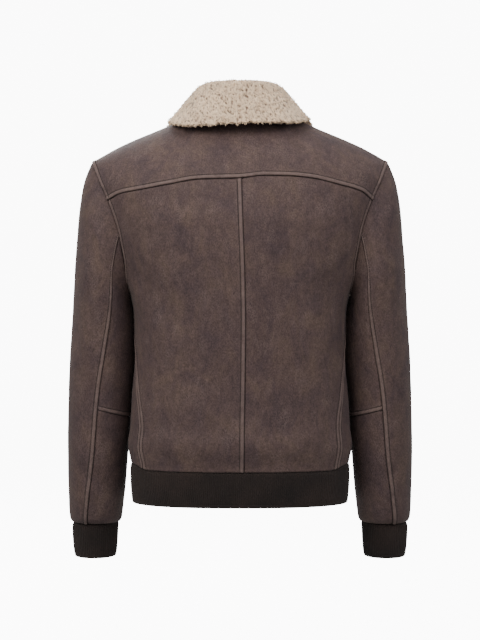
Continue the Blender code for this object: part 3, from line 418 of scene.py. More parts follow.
def fold_height(points):
    total = np.zeros(points.shape[:-1])
    for fold in FOLDS:
        start, run = np.array(fold.start), np.array(fold.end) - np.array(fold.start)
        along = np.clip(((points - start) @ run) / (run @ run), 0, 1)
        away = np.linalg.norm(points - start - along[..., None] * run, axis=-1) / fold.width
        swell = np.sin(math.pi * (0.12 + 0.76 * along))
        total += np.where(away < 2, fold.height * swell * (np.cos(math.pi * away / 2) + 1) / 2, 0)
    return total


def suppleness(points):
    """The slight unevenness of a soft hide, in metres."""
    spots = [Vector(point) for point in points.reshape(-1, 3)]
    heights = [0.00055 * noise.noise(p * 17.0) + 0.00022 * noise.noise(p * 60.0) for p in spots]
    return np.array(heights).reshape(points.shape[:-1])


# How the cloth stands beside its seams, by the distance from the seam in millimetres.
LAPPED = (
    *((0, -0.9), (0.5, 0.25), (1.1, 0.90), (2.2, 1.25), (4.8, 1.10), (5.9, 0.70)),
    *((6.6, 0.05), (7.2, 0.05), (8.0, 0.25), (10.0, 0.12), (13.0, 0.0)),
)
STITCH_IN = 0.0069  # how far in from its edge a lapped piece is sewn
UNDER = ((0, -1.5), (0.6, -1.05), (1.5, -0.55), (3.2, -0.15), (6.0, 0.0))
TUCKED = ((0, -2.6), (0.6, -1.2), (1.4, -0.35), (2.4, 0.0), (3.4, 0.1), (6.0, 0.0))
PLAIN = ((0, -0.5), (0.6, -0.1), (1.4, 0.0), (6.0, 0.0))

UNDERLAP = 0.0028  # how far the lower cloth runs on beneath the upper one
BORDER_ROWS = {
    "top": (np.s_[0], np.s_[1]),
    "bottom": (np.s_[-1], np.s_[-2]),
    "left": (np.s_[:, 0], np.s_[:, 1]),
    "right": (np.s_[:, -1], np.s_[:, -2]),
}


def beside_seam(profile, distance):
    table = np.array(profile) / 1000
    return np.interp(distance, table[:, 0], table[:, 1])


def surface_facing(points, core):
    """The unit normals of a grid of points, on the side that looks away from the core."""
    down = np.gradient(points, axis=0)
    along = np.gradient(points, axis=1)
    facing = np.cross(down, along)
    facing /= np.maximum(np.linalg.norm(facing, axis=-1, keepdims=True), 1e-12)
    return facing * np.sign(np.sum(facing * (points - np.array(core))))


def border_distances(points):
    """How far each point of a grid lies from its first and last row and column."""
    along = np.linalg.norm(np.diff(points, axis=1), axis=-1)
    down = np.linalg.norm(np.diff(points, axis=0), axis=-1)
    left = np.concatenate((np.zeros((points.shape[0], 1)), np.cumsum(along, axis=1)), axis=1)
    top = np.concatenate((np.zeros((1, points.shape[1])), np.cumsum(down, axis=0)), axis=0)
    return {"top": top, "bottom": top[-1:] - top, "left": left, "right": left[:, -1:] - left}


leather_seams = []  # the stitch lines, made into thread further on


def cloth_panel(name, points, core, seams, stitched=()):
    """One cut panel: its seam edges shaped, its folds laid in, and its wool side inside."""
    facing = surface_facing(points, core)
    away = border_distances(points)
    height = fold_height(points) + suppleness(points)
    seam_part = np.zeros(points.shape[:-1])
    uneven = 1 + 0.28 * suppleness(points * 4.0) / 0.0004
    for side, profile in seams.items():
        seam_part += beside_seam(profile, away[side]) * uneven
    placed = points + facing * (height + seam_part)[..., None]
    for side, profile in seams.items():
        if profile is UNDER:
            edge, inside = BORDER_ROWS[side]
            way = points[edge] - points[inside]
            way /= np.maximum(np.linalg.norm(way, axis=-1, keepdims=True), 1e-9)
            placed[edge] += way * UNDERLAP - facing[edge] * 0.0004
    count = points.shape[:2]
    mesh = bmesh.new()
    # The seam's lift, which the hide paints paler, partly as wear and partly as painted highlight.
    raised = mesh.verts.layers.float.new("raised")
    # A layer of painted shade for the seam ditches and the stitched grooves, kept on each point.
    painted_seam_shade = mesh.verts.layers.float.new("painted_seam_shade")
    laid = mesh.loops.layers.uv.new("cut")
    grid = bmesh.ops.create_grid(mesh, x_segments=count[1] - 1, y_segments=count[0] - 1, size=1)
    # Painted shade: darkest at the panel's seam edges, fading out within 1.2 mm of them,
    dark = 0.8 * np.clip(1 - np.minimum.reduce([away[side] for side in seams]) / 0.0012, 0, 1)
    # and painted shade along the stitched groove beside each lapped edge.
    for side, profile in seams.items():
        if profile is LAPPED:
            off = np.abs(away[side] - STITCH_IN)
            dark = np.maximum(dark, 0.5 * np.clip(1.4 - off / 0.0007, 0, 1))
    for vert, place, high, low in zip(
        grid["verts"], placed.reshape(-1, 3), seam_part.ravel(), dark.ravel()
    ):
        vert.co = place
        vert[raised] = min(max(high / 0.0012, 0), 1)
        vert[painted_seam_shade] = low
    for face in mesh.faces:
        for loop in face.loops:
            row, column = divmod(loop.vert.index, count[1])
            loop[laid].uv = (away["left"][row, column], away["top"][row, column])
    mesh.normal_update()
    mesh.faces.ensure_lookup_table()
    first = mesh.faces[len(mesh.faces) // 2]
    row, column = divmod(first.verts[0].index, count[1])
    if first.normal.dot(Vector(facing[row, column])) < 0:
        bmesh.ops.reverse_faces(mesh, faces=mesh.faces)
    panel = make_piece(name, mesh, hide, shorn_wool)
    wall = panel.modifiers.new("wall", "SOLIDIFY")
    wall.thickness = WALL
    wall.offset = -1
    wall.material_offset = 1
    wall.material_offset_rim = 0
    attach(panel, "jacket")
    for side in stitched:
        leather_seams.append(stitch_line(placed, facing, away[side], side))
    return panel


def stitch_line(placed, facing, distance, side):
    """The line on a panel where it is stitched beside one of its seams, and its facing there."""
    if side in ("top", "bottom"):
        placed, facing = placed.transpose(1, 0, 2), facing.transpose(1, 0, 2)
        distance = distance.T
    line = []
    for spots, normals, away in zip(placed, facing, distance):
        order = np.argsort(away)
        line.append([
            [np.interp(STITCH_IN, away[order], values[order, i]) for i in range(3)]
            for values in (spots, normals)
        ])
    return np.array(line)


# The hide's finish: a mottled brown, matt and finely pebbled, paler in a net of fine cracks and
# where it stands out at the seams (wear and painted highlight), with painted shade in the seams.
def brown_hide():
    made = Finish("brown_hide", Specular_IOR_Level=0.15, Sheen_Weight=0.05, Sheen_Roughness=0.5)
    place = made.add("TexCoord")
    stretch = made.add("Mapping", (place, "Object", "Vector"), Scale=(1.0, 1.0, 0.62))
    on_hide = (stretch, "Vector", "Vector")
    clouds = made.add("TexNoise", on_hide, Scale=26.0, Detail=7.0, Roughness=0.66, Distortion=0.6)
    flecks = made.add("TexNoise", on_hide, Scale=150.0, Detail=6.0, Roughness=0.75)
    grain = made.add("TexNoise", on_hide, Scale=620.0, Detail=2.0, Roughness=0.6)
    pebble = made.add("TexVoronoi", on_hide, Scale=760.0)
    cracks = made.add("TexVoronoi", on_hide, Scale=330.0)
    cracks.feature = "DISTANCE_TO_EDGE"
    where = made.add("TexNoise", on_hide, Scale=38.0, Detail=4.0, Roughness=0.6)
    browns = made.tones(
        clouds,
        "Fac",
        (0.35, (0.061, 0.0405, 0.0415)),
        (0.5, (0.078, 0.051, 0.0475)),
        (0.66, (0.095, 0.0630, 0.0525)),
    )
    speckle = made.span(flecks, "Fac", 0.3, 0.7, 0.78, 1.22)
    fine = made.span(grain, "Fac", 0.3, 0.7, 0.70, 1.30)
    both = made.combine("MULTIPLY", (speckle, "Result"), (fine, "Result"))
    mottled = made.scaled(browns, "Color", both, "Value")
    raised = made.attribute("raised")
    thin = made.span(cracks, "Distance", 0.10, 0.0, 0.0, 0.42)
    patch = made.span(where, "Fac", 0.50, 0.64, 0.0, 1.0)
    crazed = made.combine("MULTIPLY", (thin, "Result"), (patch, "Result"))
    # Paler where the seams stand out: partly wear, partly painted highlight; the cracks are real
    # wear.
    proud_wear_and_highlight = made.combine("MULTIPLY", (raised, "Fac"), (flecks, "Fac"))
    worn_and_highlit = made.combine("MAXIMUM", (crazed, "Value"), (proud_wear_and_highlight, "Value"))
    paler = made.blend(mottled, "Vector", (0.185, 0.133, 0.118), worn_and_highlit, "Value")
    # Painted shade: near-black in the seam ditches and along the stitched grooves.
    painted_seam_shade = made.attribute("painted_seam_shade")
    with_painted_shade = made.blend(paler, "Result", (0.012, 0.008, 0.007), painted_seam_shade, "Fac")
    matt = made.span(flecks, "Fac", 0.3, 0.7, 0.56, 0.74)
    relief = made.bump(0.5, 0.0005, pebble, "Distance")
    wrinkle = made.bump(0.55, 0.0016, flecks, "Fac", relief)
    made.join(
        made.shader,
        (with_painted_shade, "Result", "Base Color"),
        (matt, "Result", "Roughness"),
        (wrinkle, "Normal", "Normal"),
    )
    return made.material


hide = brown_hide()


# The wool side, shorn short inside the panels.
def short_wool():
    made = Finish(
        "shorn_wool", Roughness=0.95, Specular_IOR_Level=0.15, Sheen_Weight=0.4, Sheen_Roughness=0.6
    )
    place = made.add("TexCoord")
    on_wool = (place, "Object", "Vector")
    curls = made.add("TexNoise", on_wool, Scale=420.0, Detail=4.0, Roughness=0.65, Distortion=1.4)
    holes = made.add("TexVoronoi", on_wool, Scale=336.0)
    creams = made.tones(curls, "Fac", (0.30, (0.250, 0.1848, 0.1292)), (0.62, (0.50, 0.42, 0.34)))
    lumps = made.bump(0.9, 0.0012, curls, "Fac")
    pits = made.bump(0.5, 0.0012, holes, "Distance", lumps)
    made.join(made.shader, (creams, "Color", "Base Color"), (pits, "Normal", "Normal"))
    return made.material


shorn_wool = short_wool()


def yoke_line(columns, hand):
    """The points where a back panel meets the yoke."""
    corner = armhole_point(YOKE_END)
    start = read(CENTRE_SEAM, "x", corner[2]) * hand
    x = mix(start, corner[0], columns) * hand
    level = read(YOKE_SEAM, "level", x)
    foot = ring_point(ring_angle(x, level, 1), level)
    drift = corner * np.array((hand, 1, 1)) - foot[-1]
    return foot + drift * (columns**4)[:, None]


for label, hand in (("left", 1), ("right", -1)):
    columns = spaced(lambda a: yoke_line(a, hand), 0.0, 1.0)
    columns[-1] = 1.0
    tops = yoke_line(columns, hand)
    edge = lambda s: ring_point(outer_edge(YOKE_END, s)[1], outer_edge(YOKE_END, s)[0])
    shares = spaced(edge, 0.0, 1.0)
    points = body_panel(tops, columns, shares, YOKE_END, hand, 1)
    lapped = hand > 0
    seams = {
        "top": UNDER,
        "bottom": TUCKED,
        "left": LAPPED if lapped else UNDER,
        "right": LAPPED,
    }
    stitched = ["right"] + (["left"] if lapped else [])
    piece = cloth_panel(f"back_panel_{label}", points, TRUNK, seams, stitched)
    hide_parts(f"back_{label}")

# ---------------------------------------------------------------- yoke
# One piece of the same hide over both shoulders. Its turned lower edge lies on the back
# panels and is stitched down, and its upper edge meets the fronts on the shoulder ridge.

NECK_HALF_WIDTH = 0.0800
NECK_BACK = 0.0750
NECK_FRONT = 0.0850
NECK_BACK_DIP = 0.0150
NECK_FRONT_DIP = 0.0850
NECK_SHARE = 0.38
FULLNESS = 1.45
FRONT_LEVEL = -0.1700
FRONT_LEVEL_END = 275.8


def neck_point(turn):
    """A point of the neckline by its turn in radians from the middle of the back."""
    fore = np.cos(turn)
    depth = np.where(fore >= 0, NECK_BACK, NECK_FRONT)
    drop = np.where(fore >= 0, NECK_BACK_DIP * np.abs(fore) ** 1.5, NECK_FRONT_DIP * fore**2)
    return np.stack((NECK_HALF_WIDTH * np.sin(turn), depth * fore, -drop), axis=-1)


def shoulder_point(across, t, hand, side):
    """The yoke (side 1) or the upper front (side -1), from its lower line to the neck."""
    across, t = np.broadcast_arrays(across, t)
    corner = armhole_point(YOKE_END if side > 0 else FRONT_LEVEL_END)
    start = read(CENTRE_SEAM, "x", corner[2]) * hand if side > 0 else ZIP_HALF_GAP
    foot_x = mix(start, corner[0], across) * hand
    level = read(YOKE_SEAM, "level", foot_x) if side > 0 else np.full(across.shape, FRONT_LEVEL)
    foot = ring_point(ring_angle(foot_x, level, side), level)

    on_neck = across < NECK_SHARE
    begin = 0.0 if side > 0 else math.asin(ZIP_HALF_GAP / NECK_HALF_WIDTH)
    turn = mix(begin, math.pi / 2, np.clip(across / NECK_SHARE, 0, 1))
    neck = neck_point(turn if side > 0 else math.pi - turn)
    if side > 0:
        neck[..., 0] += start * np.clip(1 - across / NECK_SHARE, 0, 1)
    share = np.clip((across - NECK_SHARE) / (1 - NECK_SHARE), 0, 1)
    ridge = np.array((NECK_HALF_WIDTH, 0, 0)) * (1 - share[..., None])
    ridge = ridge + armhole_point(0.0) * share[..., None]
    ridge[..., 2] += 0.0042 * np.sin(np.pi * share**1.9)
    top = np.where(on_neck[..., None], neck, ridge)
    steep = np.clip(np.cos(turn), 0, 1) ** (2 if side > 0 else 1)
    climb = np.where(on_neck, math.radians(60.0) * steep, 0.0)
    top[..., 0] *= hand
    run = np.linalg.norm(top - foot, axis=-1)
    ease = 1e-4
    lean = (top[..., 0] - foot[..., 0]) / (top[..., 2] - foot[..., 2]) * 0.5 * ease
    lift = ring_point(ring_angle(foot_x + lean, level + ease, side), level + ease) - foot
    foot_rise = lift * ((top[..., 2] - foot[..., 2]) * FULLNESS / lift[..., 2])[..., None]
    reach = run * (1 - 0.35 * np.sin(climb))
    arrive = np.stack((np.zeros(run.shape), -side * np.cos(climb), np.sin(climb)), axis=-1)
    top_rise = arrive * reach[..., None]
    top_rise[..., 0] += (top[..., 0] - foot[..., 0]) * 0.8
    t = t[..., None]
    return (
        foot * (2 * t**3 - 3 * t**2 + 1)
        + foot_rise * (t**3 - 2 * t**2 + t)
        + top * (3 * t**2 - 2 * t**3)
        + top_rise * (t**3 - t**2)
    )


def shoulder_surface(across, t, hand, side):
    """The same, with its outer edge kept exactly on the armhole."""
    across, t = np.broadcast_arrays(across, t)
    corner_turn = YOKE_END if side > 0 else FRONT_LEVEL_END
    rim = armhole_point(mix(corner_turn, 0.0 if side > 0 else 360.0, t)) * np.array((hand, 1, 1))
    drift = rim - shoulder_point(np.ones(across.shape), t, hand, side)
    return shoulder_point(across, t, hand, side) + drift * (across**4)[..., None]


half = spaced(lambda a: yoke_line(a, 1), 0.0, 1.0, fine_start=False)
across = np.concatenate((-half[::-1], half[1:]))
rise = spaced(lambda t: shoulder_surface(np.full(t.shape, 0.6), t, 1, 1), 0.0, 1.0, coarse=0.0042)
grid_across, grid_rise = np.meshgrid(across, rise)
left_half = shoulder_surface(np.abs(grid_across), grid_rise, 1, 1)
right_half = shoulder_surface(np.abs(grid_across), grid_rise, -1, 1)
points = np.where((grid_across >= 0)[..., None], left_half, right_half)
yoke = cloth_panel(
    "yoke_panel",
    points,
    TRUNK,
    {"top": LAPPED, "bottom": PLAIN, "left": LAPPED, "right": LAPPED},
    ["top", "left", "right"],
)
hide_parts("yoke")

# ---------------------------------------------------------------- fronts
# A panel on each side from the shoulder ridge and neck down to the rib, turned back along
# the zip and stitched beside it.


def front_side(share):
    level, angle = outer_edge(FRONT_LEVEL_END, share)
    return ring_point(angle, level)


for label, hand in (("left", 1), ("right", -1)):
    line = lambda a: shoulder_surface(a, np.zeros(a.shape), hand, -1)
    columns = spaced(line, 0.0, 1.0)
    columns[-1] = 1.0
    tops = line(columns)
    column = lambda t: shoulder_surface(np.full(t.shape, 0.6), t, hand, -1)
    rise = spaced(column, 0.0, 1.0, fine_start=False)[::-1]
    shares = spaced(front_side, 0.0, 1.0, fine_start=False)
    grid_across, grid_rise = np.meshgrid(columns, rise)
    upper = shoulder_surface(grid_across, grid_rise, hand, -1)
    lower = body_panel(tops, columns, shares, FRONT_LEVEL_END, hand, -1)
    points = np.concatenate((upper, lower[1:]), axis=0)
    seams = {"top": UNDER, "bottom": TUCKED, "left": LAPPED, "right": LAPPED}
    stitched = ["right", "left"]
    piece = cloth_panel(f"front_panel_{label}", points, TRUNK, seams, stitched)
    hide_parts(f"front_{label}")

# ---------------------------------------------------------------- sleeves
# Each sleeve is a top sleeve lapped over an under-sleeve, which is pieced at the elbow. They
# are set into the armholes under the body's turned edge and bag over the cuffs.

SleeveRing = namedtuple(
    "SleeveRing", "row out_x out_z in_x in_z middle_y half_depth back_seam front_seam"
)
SLEEVE = (
    SleeveRing(0, 0.2365, -0.0736, 0.1740, -0.2880, 0.000, 0.0680, 97.0, 255.0),
    SleeveRing(1, 0.2497, -0.1085, 0.1752, -0.3000, -0.001, 0.0700, 110.0, 252.0),
    SleeveRing(2, 0.2568, -0.1500, 0.1736, -0.3130, -0.003, 0.0720, 112.6, 250.0),
    SleeveRing(3, 0.2612, -0.2000, 0.1716, -0.3320, -0.007, 0.0730, 111.8, 249.0),
    SleeveRing(4, 0.2655, -0.2500, 0.1704, -0.3520, -0.012, 0.0720, 109.5, 249.0),
    SleeveRing(5, 0.2687, -0.3000, 0.1698, -0.3760, -0.017, 0.0705, 105.0, 249.0),
    SleeveRing(6, 0.2718, -0.3500, 0.1708, -0.4050, -0.020, 0.0685, 100.4, 250.0),
    SleeveRing(7, 0.2750, -0.4000, 0.1735, -0.4400, -0.023, 0.0665, 96.0, 251.0),
    SleeveRing(8, 0.2769, -0.4520, 0.1758, -0.4800, -0.026, 0.0645, 92.3, 252.0),
    SleeveRing(9, 0.2787, -0.5230, 0.1808, -0.5380, -0.030, 0.0610, 90.0, 254.0),
    SleeveRing(10, 0.2783, -0.5890, 0.1858, -0.5940, -0.037, 0.0560, 83.0, 257.0),
    SleeveRing(11, 0.2775, -0.6300, 0.1905, -0.6320, -0.041, 0.0520, 78.0, 260.0),
    SleeveRing(12, 0.2762, -0.6445, 0.1925, -0.6455, -0.043, 0.0480, 76.4, 261.0),
    SleeveRing(13, 0.2722, -0.6530, 0.1968, -0.6530, -0.045, 0.0410, 75.1, 262.0),
)
BACK_SLEEVE_SEAM = 97.0
FRONT_SLEEVE_SEAM = 255.0
ELBOW_ROW = 8.0
CUFF_ROW = 13.0
INWARD, INWARD_TURN, INWARD_ROW = 0.0075, 196, 3.0  # pressed towards the body beside the waist


def sleeve_column(turn, row):
    """Where a column that leaves the armhole at a turn lies at a ring, keeping to the seams."""
    back = read(SLEEVE, "back_seam", row)
    front = read(SLEEVE, "front_seam", row)
    turn = np.mod(turn, 360.0)
    upper = turn / BACK_SLEEVE_SEAM * back
    share = (turn - BACK_SLEEVE_SEAM) / (FRONT_SLEEVE_SEAM - BACK_SLEEVE_SEAM)
    under = mix(back, front, share)
    fore = mix(front, 360.0, (turn - FRONT_SLEEVE_SEAM) / (360.0 - FRONT_SLEEVE_SEAM))
    return np.where(
        turn <= BACK_SLEEVE_SEAM, upper, np.where(turn <= FRONT_SLEEVE_SEAM, under, fore)
    )


def sleeve_ring_point(degrees, row):
    fore = (1 + np.cos(np.radians(degrees))) / 2
    middle, deep = read(SLEEVE, "middle_y", row), read(SLEEVE, "half_depth", row)
    x = mix(read(SLEEVE, "in_x", row), read(SLEEVE, "out_x", row), fore)
    z = mix(read(SLEEVE, "in_z", row), read(SLEEVE, "out_z", row), fore)
    return np.stack((x, middle + deep * np.sin(np.radians(degrees)), z), axis=-1)


def sleeve_point(turn, row):
    turn, row = np.broadcast_arrays(turn, row)
    degrees = sleeve_column(turn, row)
    fade = np.clip(1 - row / 2, 0, 1) ** 2
    drift = armhole_point(degrees) - sleeve_ring_point(degrees, np.zeros(row.shape))
    return sleeve_ring_point(degrees, row) + drift * fade[..., None]


def sleeve_panel(name, turns, rows, hand, seams, stitched):
    grid_turn, grid_row = np.meshgrid(turns, rows)
    points = sleeve_point(grid_turn, grid_row) * np.array((hand, 1, 1))
    inward = np.exp(-(((np.mod(grid_turn, 360) - INWARD_TURN) / 36) ** 2))
    beside_body = np.exp(-(((grid_row - INWARD_ROW) / 3.0) ** 4)) * np.clip(grid_row / 0.8, 0, 1)
    points[..., 0] -= hand * INWARD * inward * beside_body
    arm = (0.225 * hand, -0.01, -0.38)
    return cloth_panel(name, points, arm, seams, stitched)


for label, hand in (("left", 1), ("right", -1)):
    round_top = spaced(
        lambda turn: sleeve_point(turn, 6.0), FRONT_SLEEVE_SEAM - 360.0, BACK_SLEEVE_SEAM
    )
    down_top = spaced(lambda row: sleeve_point(10.0, row), 0.0, CUFF_ROW)
    seams = {"top": UNDER, "bottom": TUCKED, "left": LAPPED, "right": LAPPED}
    stitched = ["left", "right"]
    piece = sleeve_panel(f"top_sleeve_panel_{label}", round_top, down_top, hand, seams, stitched)
    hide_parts(f"top_sleeve_{label}")

    round_under = spaced(lambda turn: sleeve_point(turn, 6.0), BACK_SLEEVE_SEAM, FRONT_SLEEVE_SEAM)
    down_upper = spaced(lambda row: sleeve_point(180.0, row), 0.0, ELBOW_ROW)
    seams = {"top": UNDER, "bottom": LAPPED, "left": UNDER, "right": UNDER}
    piece = sleeve_panel(
        f"under_sleeve_upper_panel_{label}", round_under, down_upper, hand, seams, ["bottom"]
    )
    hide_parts(f"under_sleeve_upper_{label}")

    down_lower = spaced(lambda row: sleeve_point(180.0, row), ELBOW_ROW, CUFF_ROW)
    seams = {"top": UNDER, "bottom": TUCKED, "left": UNDER, "right": UNDER}
    piece = sleeve_panel(
        f"under_sleeve_lower_panel_{label}", round_under, down_lower, hand, seams, []
    )
    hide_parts(f"under_sleeve_lower_{label}")

# ---------------------------------------------------------------- stitching
# Brown thread along every lapped edge, about three stitches to the centimetre.

STITCH_PITCH = 0.0034
STITCH_LONG = 0.0024
STITCH_RADIUS = 0.00070
STITCH_FREE = 0.006  # how far the stitches stay from a seam's ends


def brown_thread():
    made = Finish("brown_thread", Roughness=0.7)
    place = made.add("TexCoord")
    twist = made.add("TexNoise", (place, "Object", "Vector"), Scale=900.0)
    threads = made.tones(twist, "Fac", (0, (0.008, 0.005, 0.004)), (1, (0.032, 0.019, 0.016)))
    made.join(made.shader, (threads, "Color", "Base Color"))
    return made.material


thread = bmesh.new()
for line in leather_seams:
    spots, normals = line[:, 0], line[:, 1]
    lengths = np.concatenate(([0], np.cumsum(np.linalg.norm(np.diff(spots, axis=0), axis=1))))
    wanted = np.arange(STITCH_FREE, lengths[-1] - STITCH_FREE, STITCH_PITCH)
    ahead = [np.interp(wanted + 0.0005, lengths, spots[:, i]) for i in range(3)]
    here = np.stack([np.interp(wanted, lengths, spots[:, i]) for i in range(3)], axis=1)
    out = np.stack([np.interp(wanted, lengths, normals[:, i]) for i in range(3)], axis=1)
    for place, front, normal in zip(here, np.stack(ahead, axis=1), out):
        along = Vector(front - place).normalized()
        normal = Vector(normal).normalized()
        side = along.cross(normal).normalized()
        turned = Matrix((along, side, normal)).transposed().to_4x4()
        lies = Matrix.Translation(Vector(place) + normal * STITCH_RADIUS * 0.35) @ turned
        sized = Matrix.Diagonal((STITCH_LONG / 2, STITCH_RADIUS, STITCH_RADIUS, 1))
        bmesh.ops.create_icosphere(thread, subdivisions=1, radius=1, matrix=lies @ sized)
stitches = make_piece("seam_stitches", thread, brown_thread())
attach(stitches, "jacket")

# ---------------------------------------------------------------- hem band and cuffs
# Rib knit in near-black wool, folded double so that its lower edge is round. The leather is
# sewn over its upper edge and bags out a little above it.

HEM_LEVEL = -0.6120
RIB_PITCH = 0.0033
RIB_DEEP = 0.00042
KNIT_WALL = 0.0030
CuffRing = namedtuple("CuffRing", "row out_x in_x level middle_y half_depth")
CUFF = (
    CuffRing(0, 0.2722, 0.1968, -0.6530, -0.0450, 0.0410),
    CuffRing(1, 0.2724, 0.1988, -0.6620, -0.0455, 0.0403),
    CuffRing(2, 0.2710, 0.2004, -0.6900, -0.0470, 0.0396),
    CuffRing(3, 0.2692, 0.2020, -0.7080, -0.0480, 0.0385),
)
# The rows of points down the hem band, in millimetres, and down the cuffs, in cuff rings.
HEM_ROWS = (0, 0.7, 1.5, 2.6, 4, 6, 9, 14, 20, 27, 34, 41, 47, 51, 53.4, 54.4, 55)
CUFF_ROWS = (0, 0.08, 0.18, 0.32, 0.5, 0.75, 1.0, 1.3, 1.6, 1.9, 2.2, 2.5, 2.75, 2.88, 2.94)
HEM_COLUMNS = 1400
# How the knit stands below its upper seam, by the distance down from it in millimetres.
KNIT_STANDS = ((0, -2.2), (1.5, -1.0), (4, -0.1), (9, 0.35), (25, 0.5), (45, 0.2), (55, -0.3))


def melange_knit():
    """Fine rib knit: dark melange yarn with rows of small loops."""
    made = Finish(
        "rib_knit", Roughness=0.92, Specular_IOR_Level=0.2, Sheen_Weight=0.08, Sheen_Roughness=0.6
    )
    cut = made.add("UVMap")
    cut.uv_map = "cut"
    loops = made.add("TexWave", (cut, "UV", "Vector"), Scale=220.0, Distortion=1.0, Detail=2.0)
    loops.bands_direction = "Y"
    on_knit = (made.add("TexCoord"), "Object", "Vector")
    fibre = made.add("TexNoise", on_knit, Scale=700.0, Detail=4.0)
    patchy = made.add("TexNoise", on_knit, Scale=16.0, Detail=3.0)
    both = made.combine("MULTIPLY", (fibre, "Fac"), (patchy, "Fac"))
    yarns = made.tones(
        both, "Value", (0.14, (0.0088, 0.0060, 0.0053)), (0.38, (0.0260, 0.0160, 0.0132))
    )
    lumps = made.bump(0.35, 0.0004, loops, "Fac")
    fuzz = made.bump(0.5, 0.0005, fibre, "Fac", lumps)
    made.join(made.shader, (yarns, "Color", "Base Color"), (fuzz, "Normal", "Normal"))
    return made.material


rib_knit = melange_knit()


def knit_band(name, around, core, closed):
    """A doubled band of rib knit. Around gives its surface: columns, each with points down."""
    facing = surface_facing(around, core)
    if closed:
        joined = facing[:, 0] + facing[:, -1]
        facing[:, 0] = facing[:, -1] = joined / np.linalg.norm(joined, axis=-1, keepdims=True)
    down = np.linalg.norm(np.diff(around, axis=0), axis=-1)
    down = np.concatenate((np.zeros((1, around.shape[1])), np.cumsum(down, axis=0)), axis=0)
    run = np.linalg.norm(np.diff(around[len(around) // 2], axis=0), axis=-1)
    run = np.concatenate(([0], np.cumsum(run)))
    ribs = round(run[-1] / RIB_PITCH)
    wave = np.cos(2 * math.pi * ribs * run / run[-1])
    wave = np.sign(wave) * np.abs(wave) ** 0.7 * RIB_DEEP
    fade = np.clip((down[-1:] - down) / 0.003, 0, 1) * np.clip(down / 0.004, 0, 1)
    outer = around + facing * (beside_seam(KNIT_STANDS, down) + wave[None, :] * fade)[..., None]
    foot = outer[-1] - facing[-1] * KNIT_WALL / 2
    dip = around[-1] - around[-2]
    dip /= np.linalg.norm(dip, axis=-1, keepdims=True)
    rows = list(outer)
    for turn in (0.25, 0.5, 0.75, 1.0):
        swing = math.pi * turn
        rows.append(
            foot + (facing[-1] * math.cos(swing) + dip * 1.2 * math.sin(swing)) * KNIT_WALL / 2
        )
    inner = around - facing * (KNIT_WALL + wave[None, :] * 0.6)[..., None]
    rows += [inner[i] for i in range(len(inner) - 2, -1, -3)]
    rows = np.array(rows)
    count = rows.shape[:2]
    mesh = bmesh.new()
    laid = mesh.loops.layers.uv.new("cut")
    grid = bmesh.ops.create_grid(mesh, x_segments=count[1] - 1, y_segments=count[0] - 1, size=1)
    for vert, place in zip(grid["verts"], rows.reshape(-1, 3)):
        vert.co = place
    steps = np.linalg.norm(np.diff(rows[:, 0], axis=0), axis=-1)
    heights = np.concatenate(([0], np.cumsum(steps)))
    for face in mesh.faces:
        for loop in face.loops:
            row, column = divmod(loop.vert.index, count[1])
            loop[laid].uv = (run[column], heights[row])
    mesh.verts.ensure_lookup_table()
    last = (count[0] - 1) * count[1]
    for i in range(count[1] - 1):
        mesh.faces.new([mesh.verts[k] for k in (i, i + 1, last + i + 1, last + i)])
    if closed:
        bmesh.ops.remove_doubles(mesh, verts=mesh.verts, dist=0.00002)
    else:
        for end in (0, count[1] - 1):
            mesh.faces.new([mesh.verts[row * count[1] + end] for row in range(count[0])])
    bmesh.ops.recalc_face_normals(mesh, faces=mesh.faces)
    band = make_piece(name, mesh, rib_knit)
    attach(band, "jacket")
    return band


def hem_line(level, count):
    """Points round the hem band at one level, from the zip round the left side to the zip."""
    begin = float(middle_angle(level, 1, -1))
    line = ring_point(np.linspace(begin, -begin, count), np.full(count, level))
    line[:, 2] += bagging(line[:, 0]) * (level - HEM_LEVEL) / (RIB_SEAM_LEVEL - HEM_LEVEL)
    return line


hem_shares = np.array(HEM_ROWS) / HEM_ROWS[-1]
hem_levels = np.interp(hem_shares, (0, 1), (RIB_SEAM_LEVEL, HEM_LEVEL - 0.0004))
around = np.array([hem_line(level, HEM_COLUMNS) for level in hem_levels])
hem_band = knit_band("hem_rib_band", around, TRUNK, False)
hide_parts("hem_rib")

for label, hand in (("left", 1), ("right", -1)):
    grid_degrees, grid_row = np.meshgrid(np.linspace(0, 360, 361), np.array(CUFF_ROWS))
    fore = (1 + np.cos(np.radians(grid_degrees))) / 2
    values = {column: read(CUFF, column, grid_row) for column in CuffRing._fields[1:]}
    x = mix(values["in_x"], values["out_x"], fore) * hand
    y = values["middle_y"] + values["half_depth"] * np.sin(np.radians(grid_degrees))
    around = np.stack((x, y, values["level"]), axis=-1)
    arm_end = (0.236 * hand, -0.047, -0.68)
    cuff = knit_band(f"cuff_band_{label}", around, arm_end, True)
    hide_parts(f"cuff_{label}")

# ---------------------------------------------------------------- collar
# A band of the sheepskin with its long curly wool outside, folded over on itself round the
# neck. Its cut edge is left raw, so the curls hang past it.

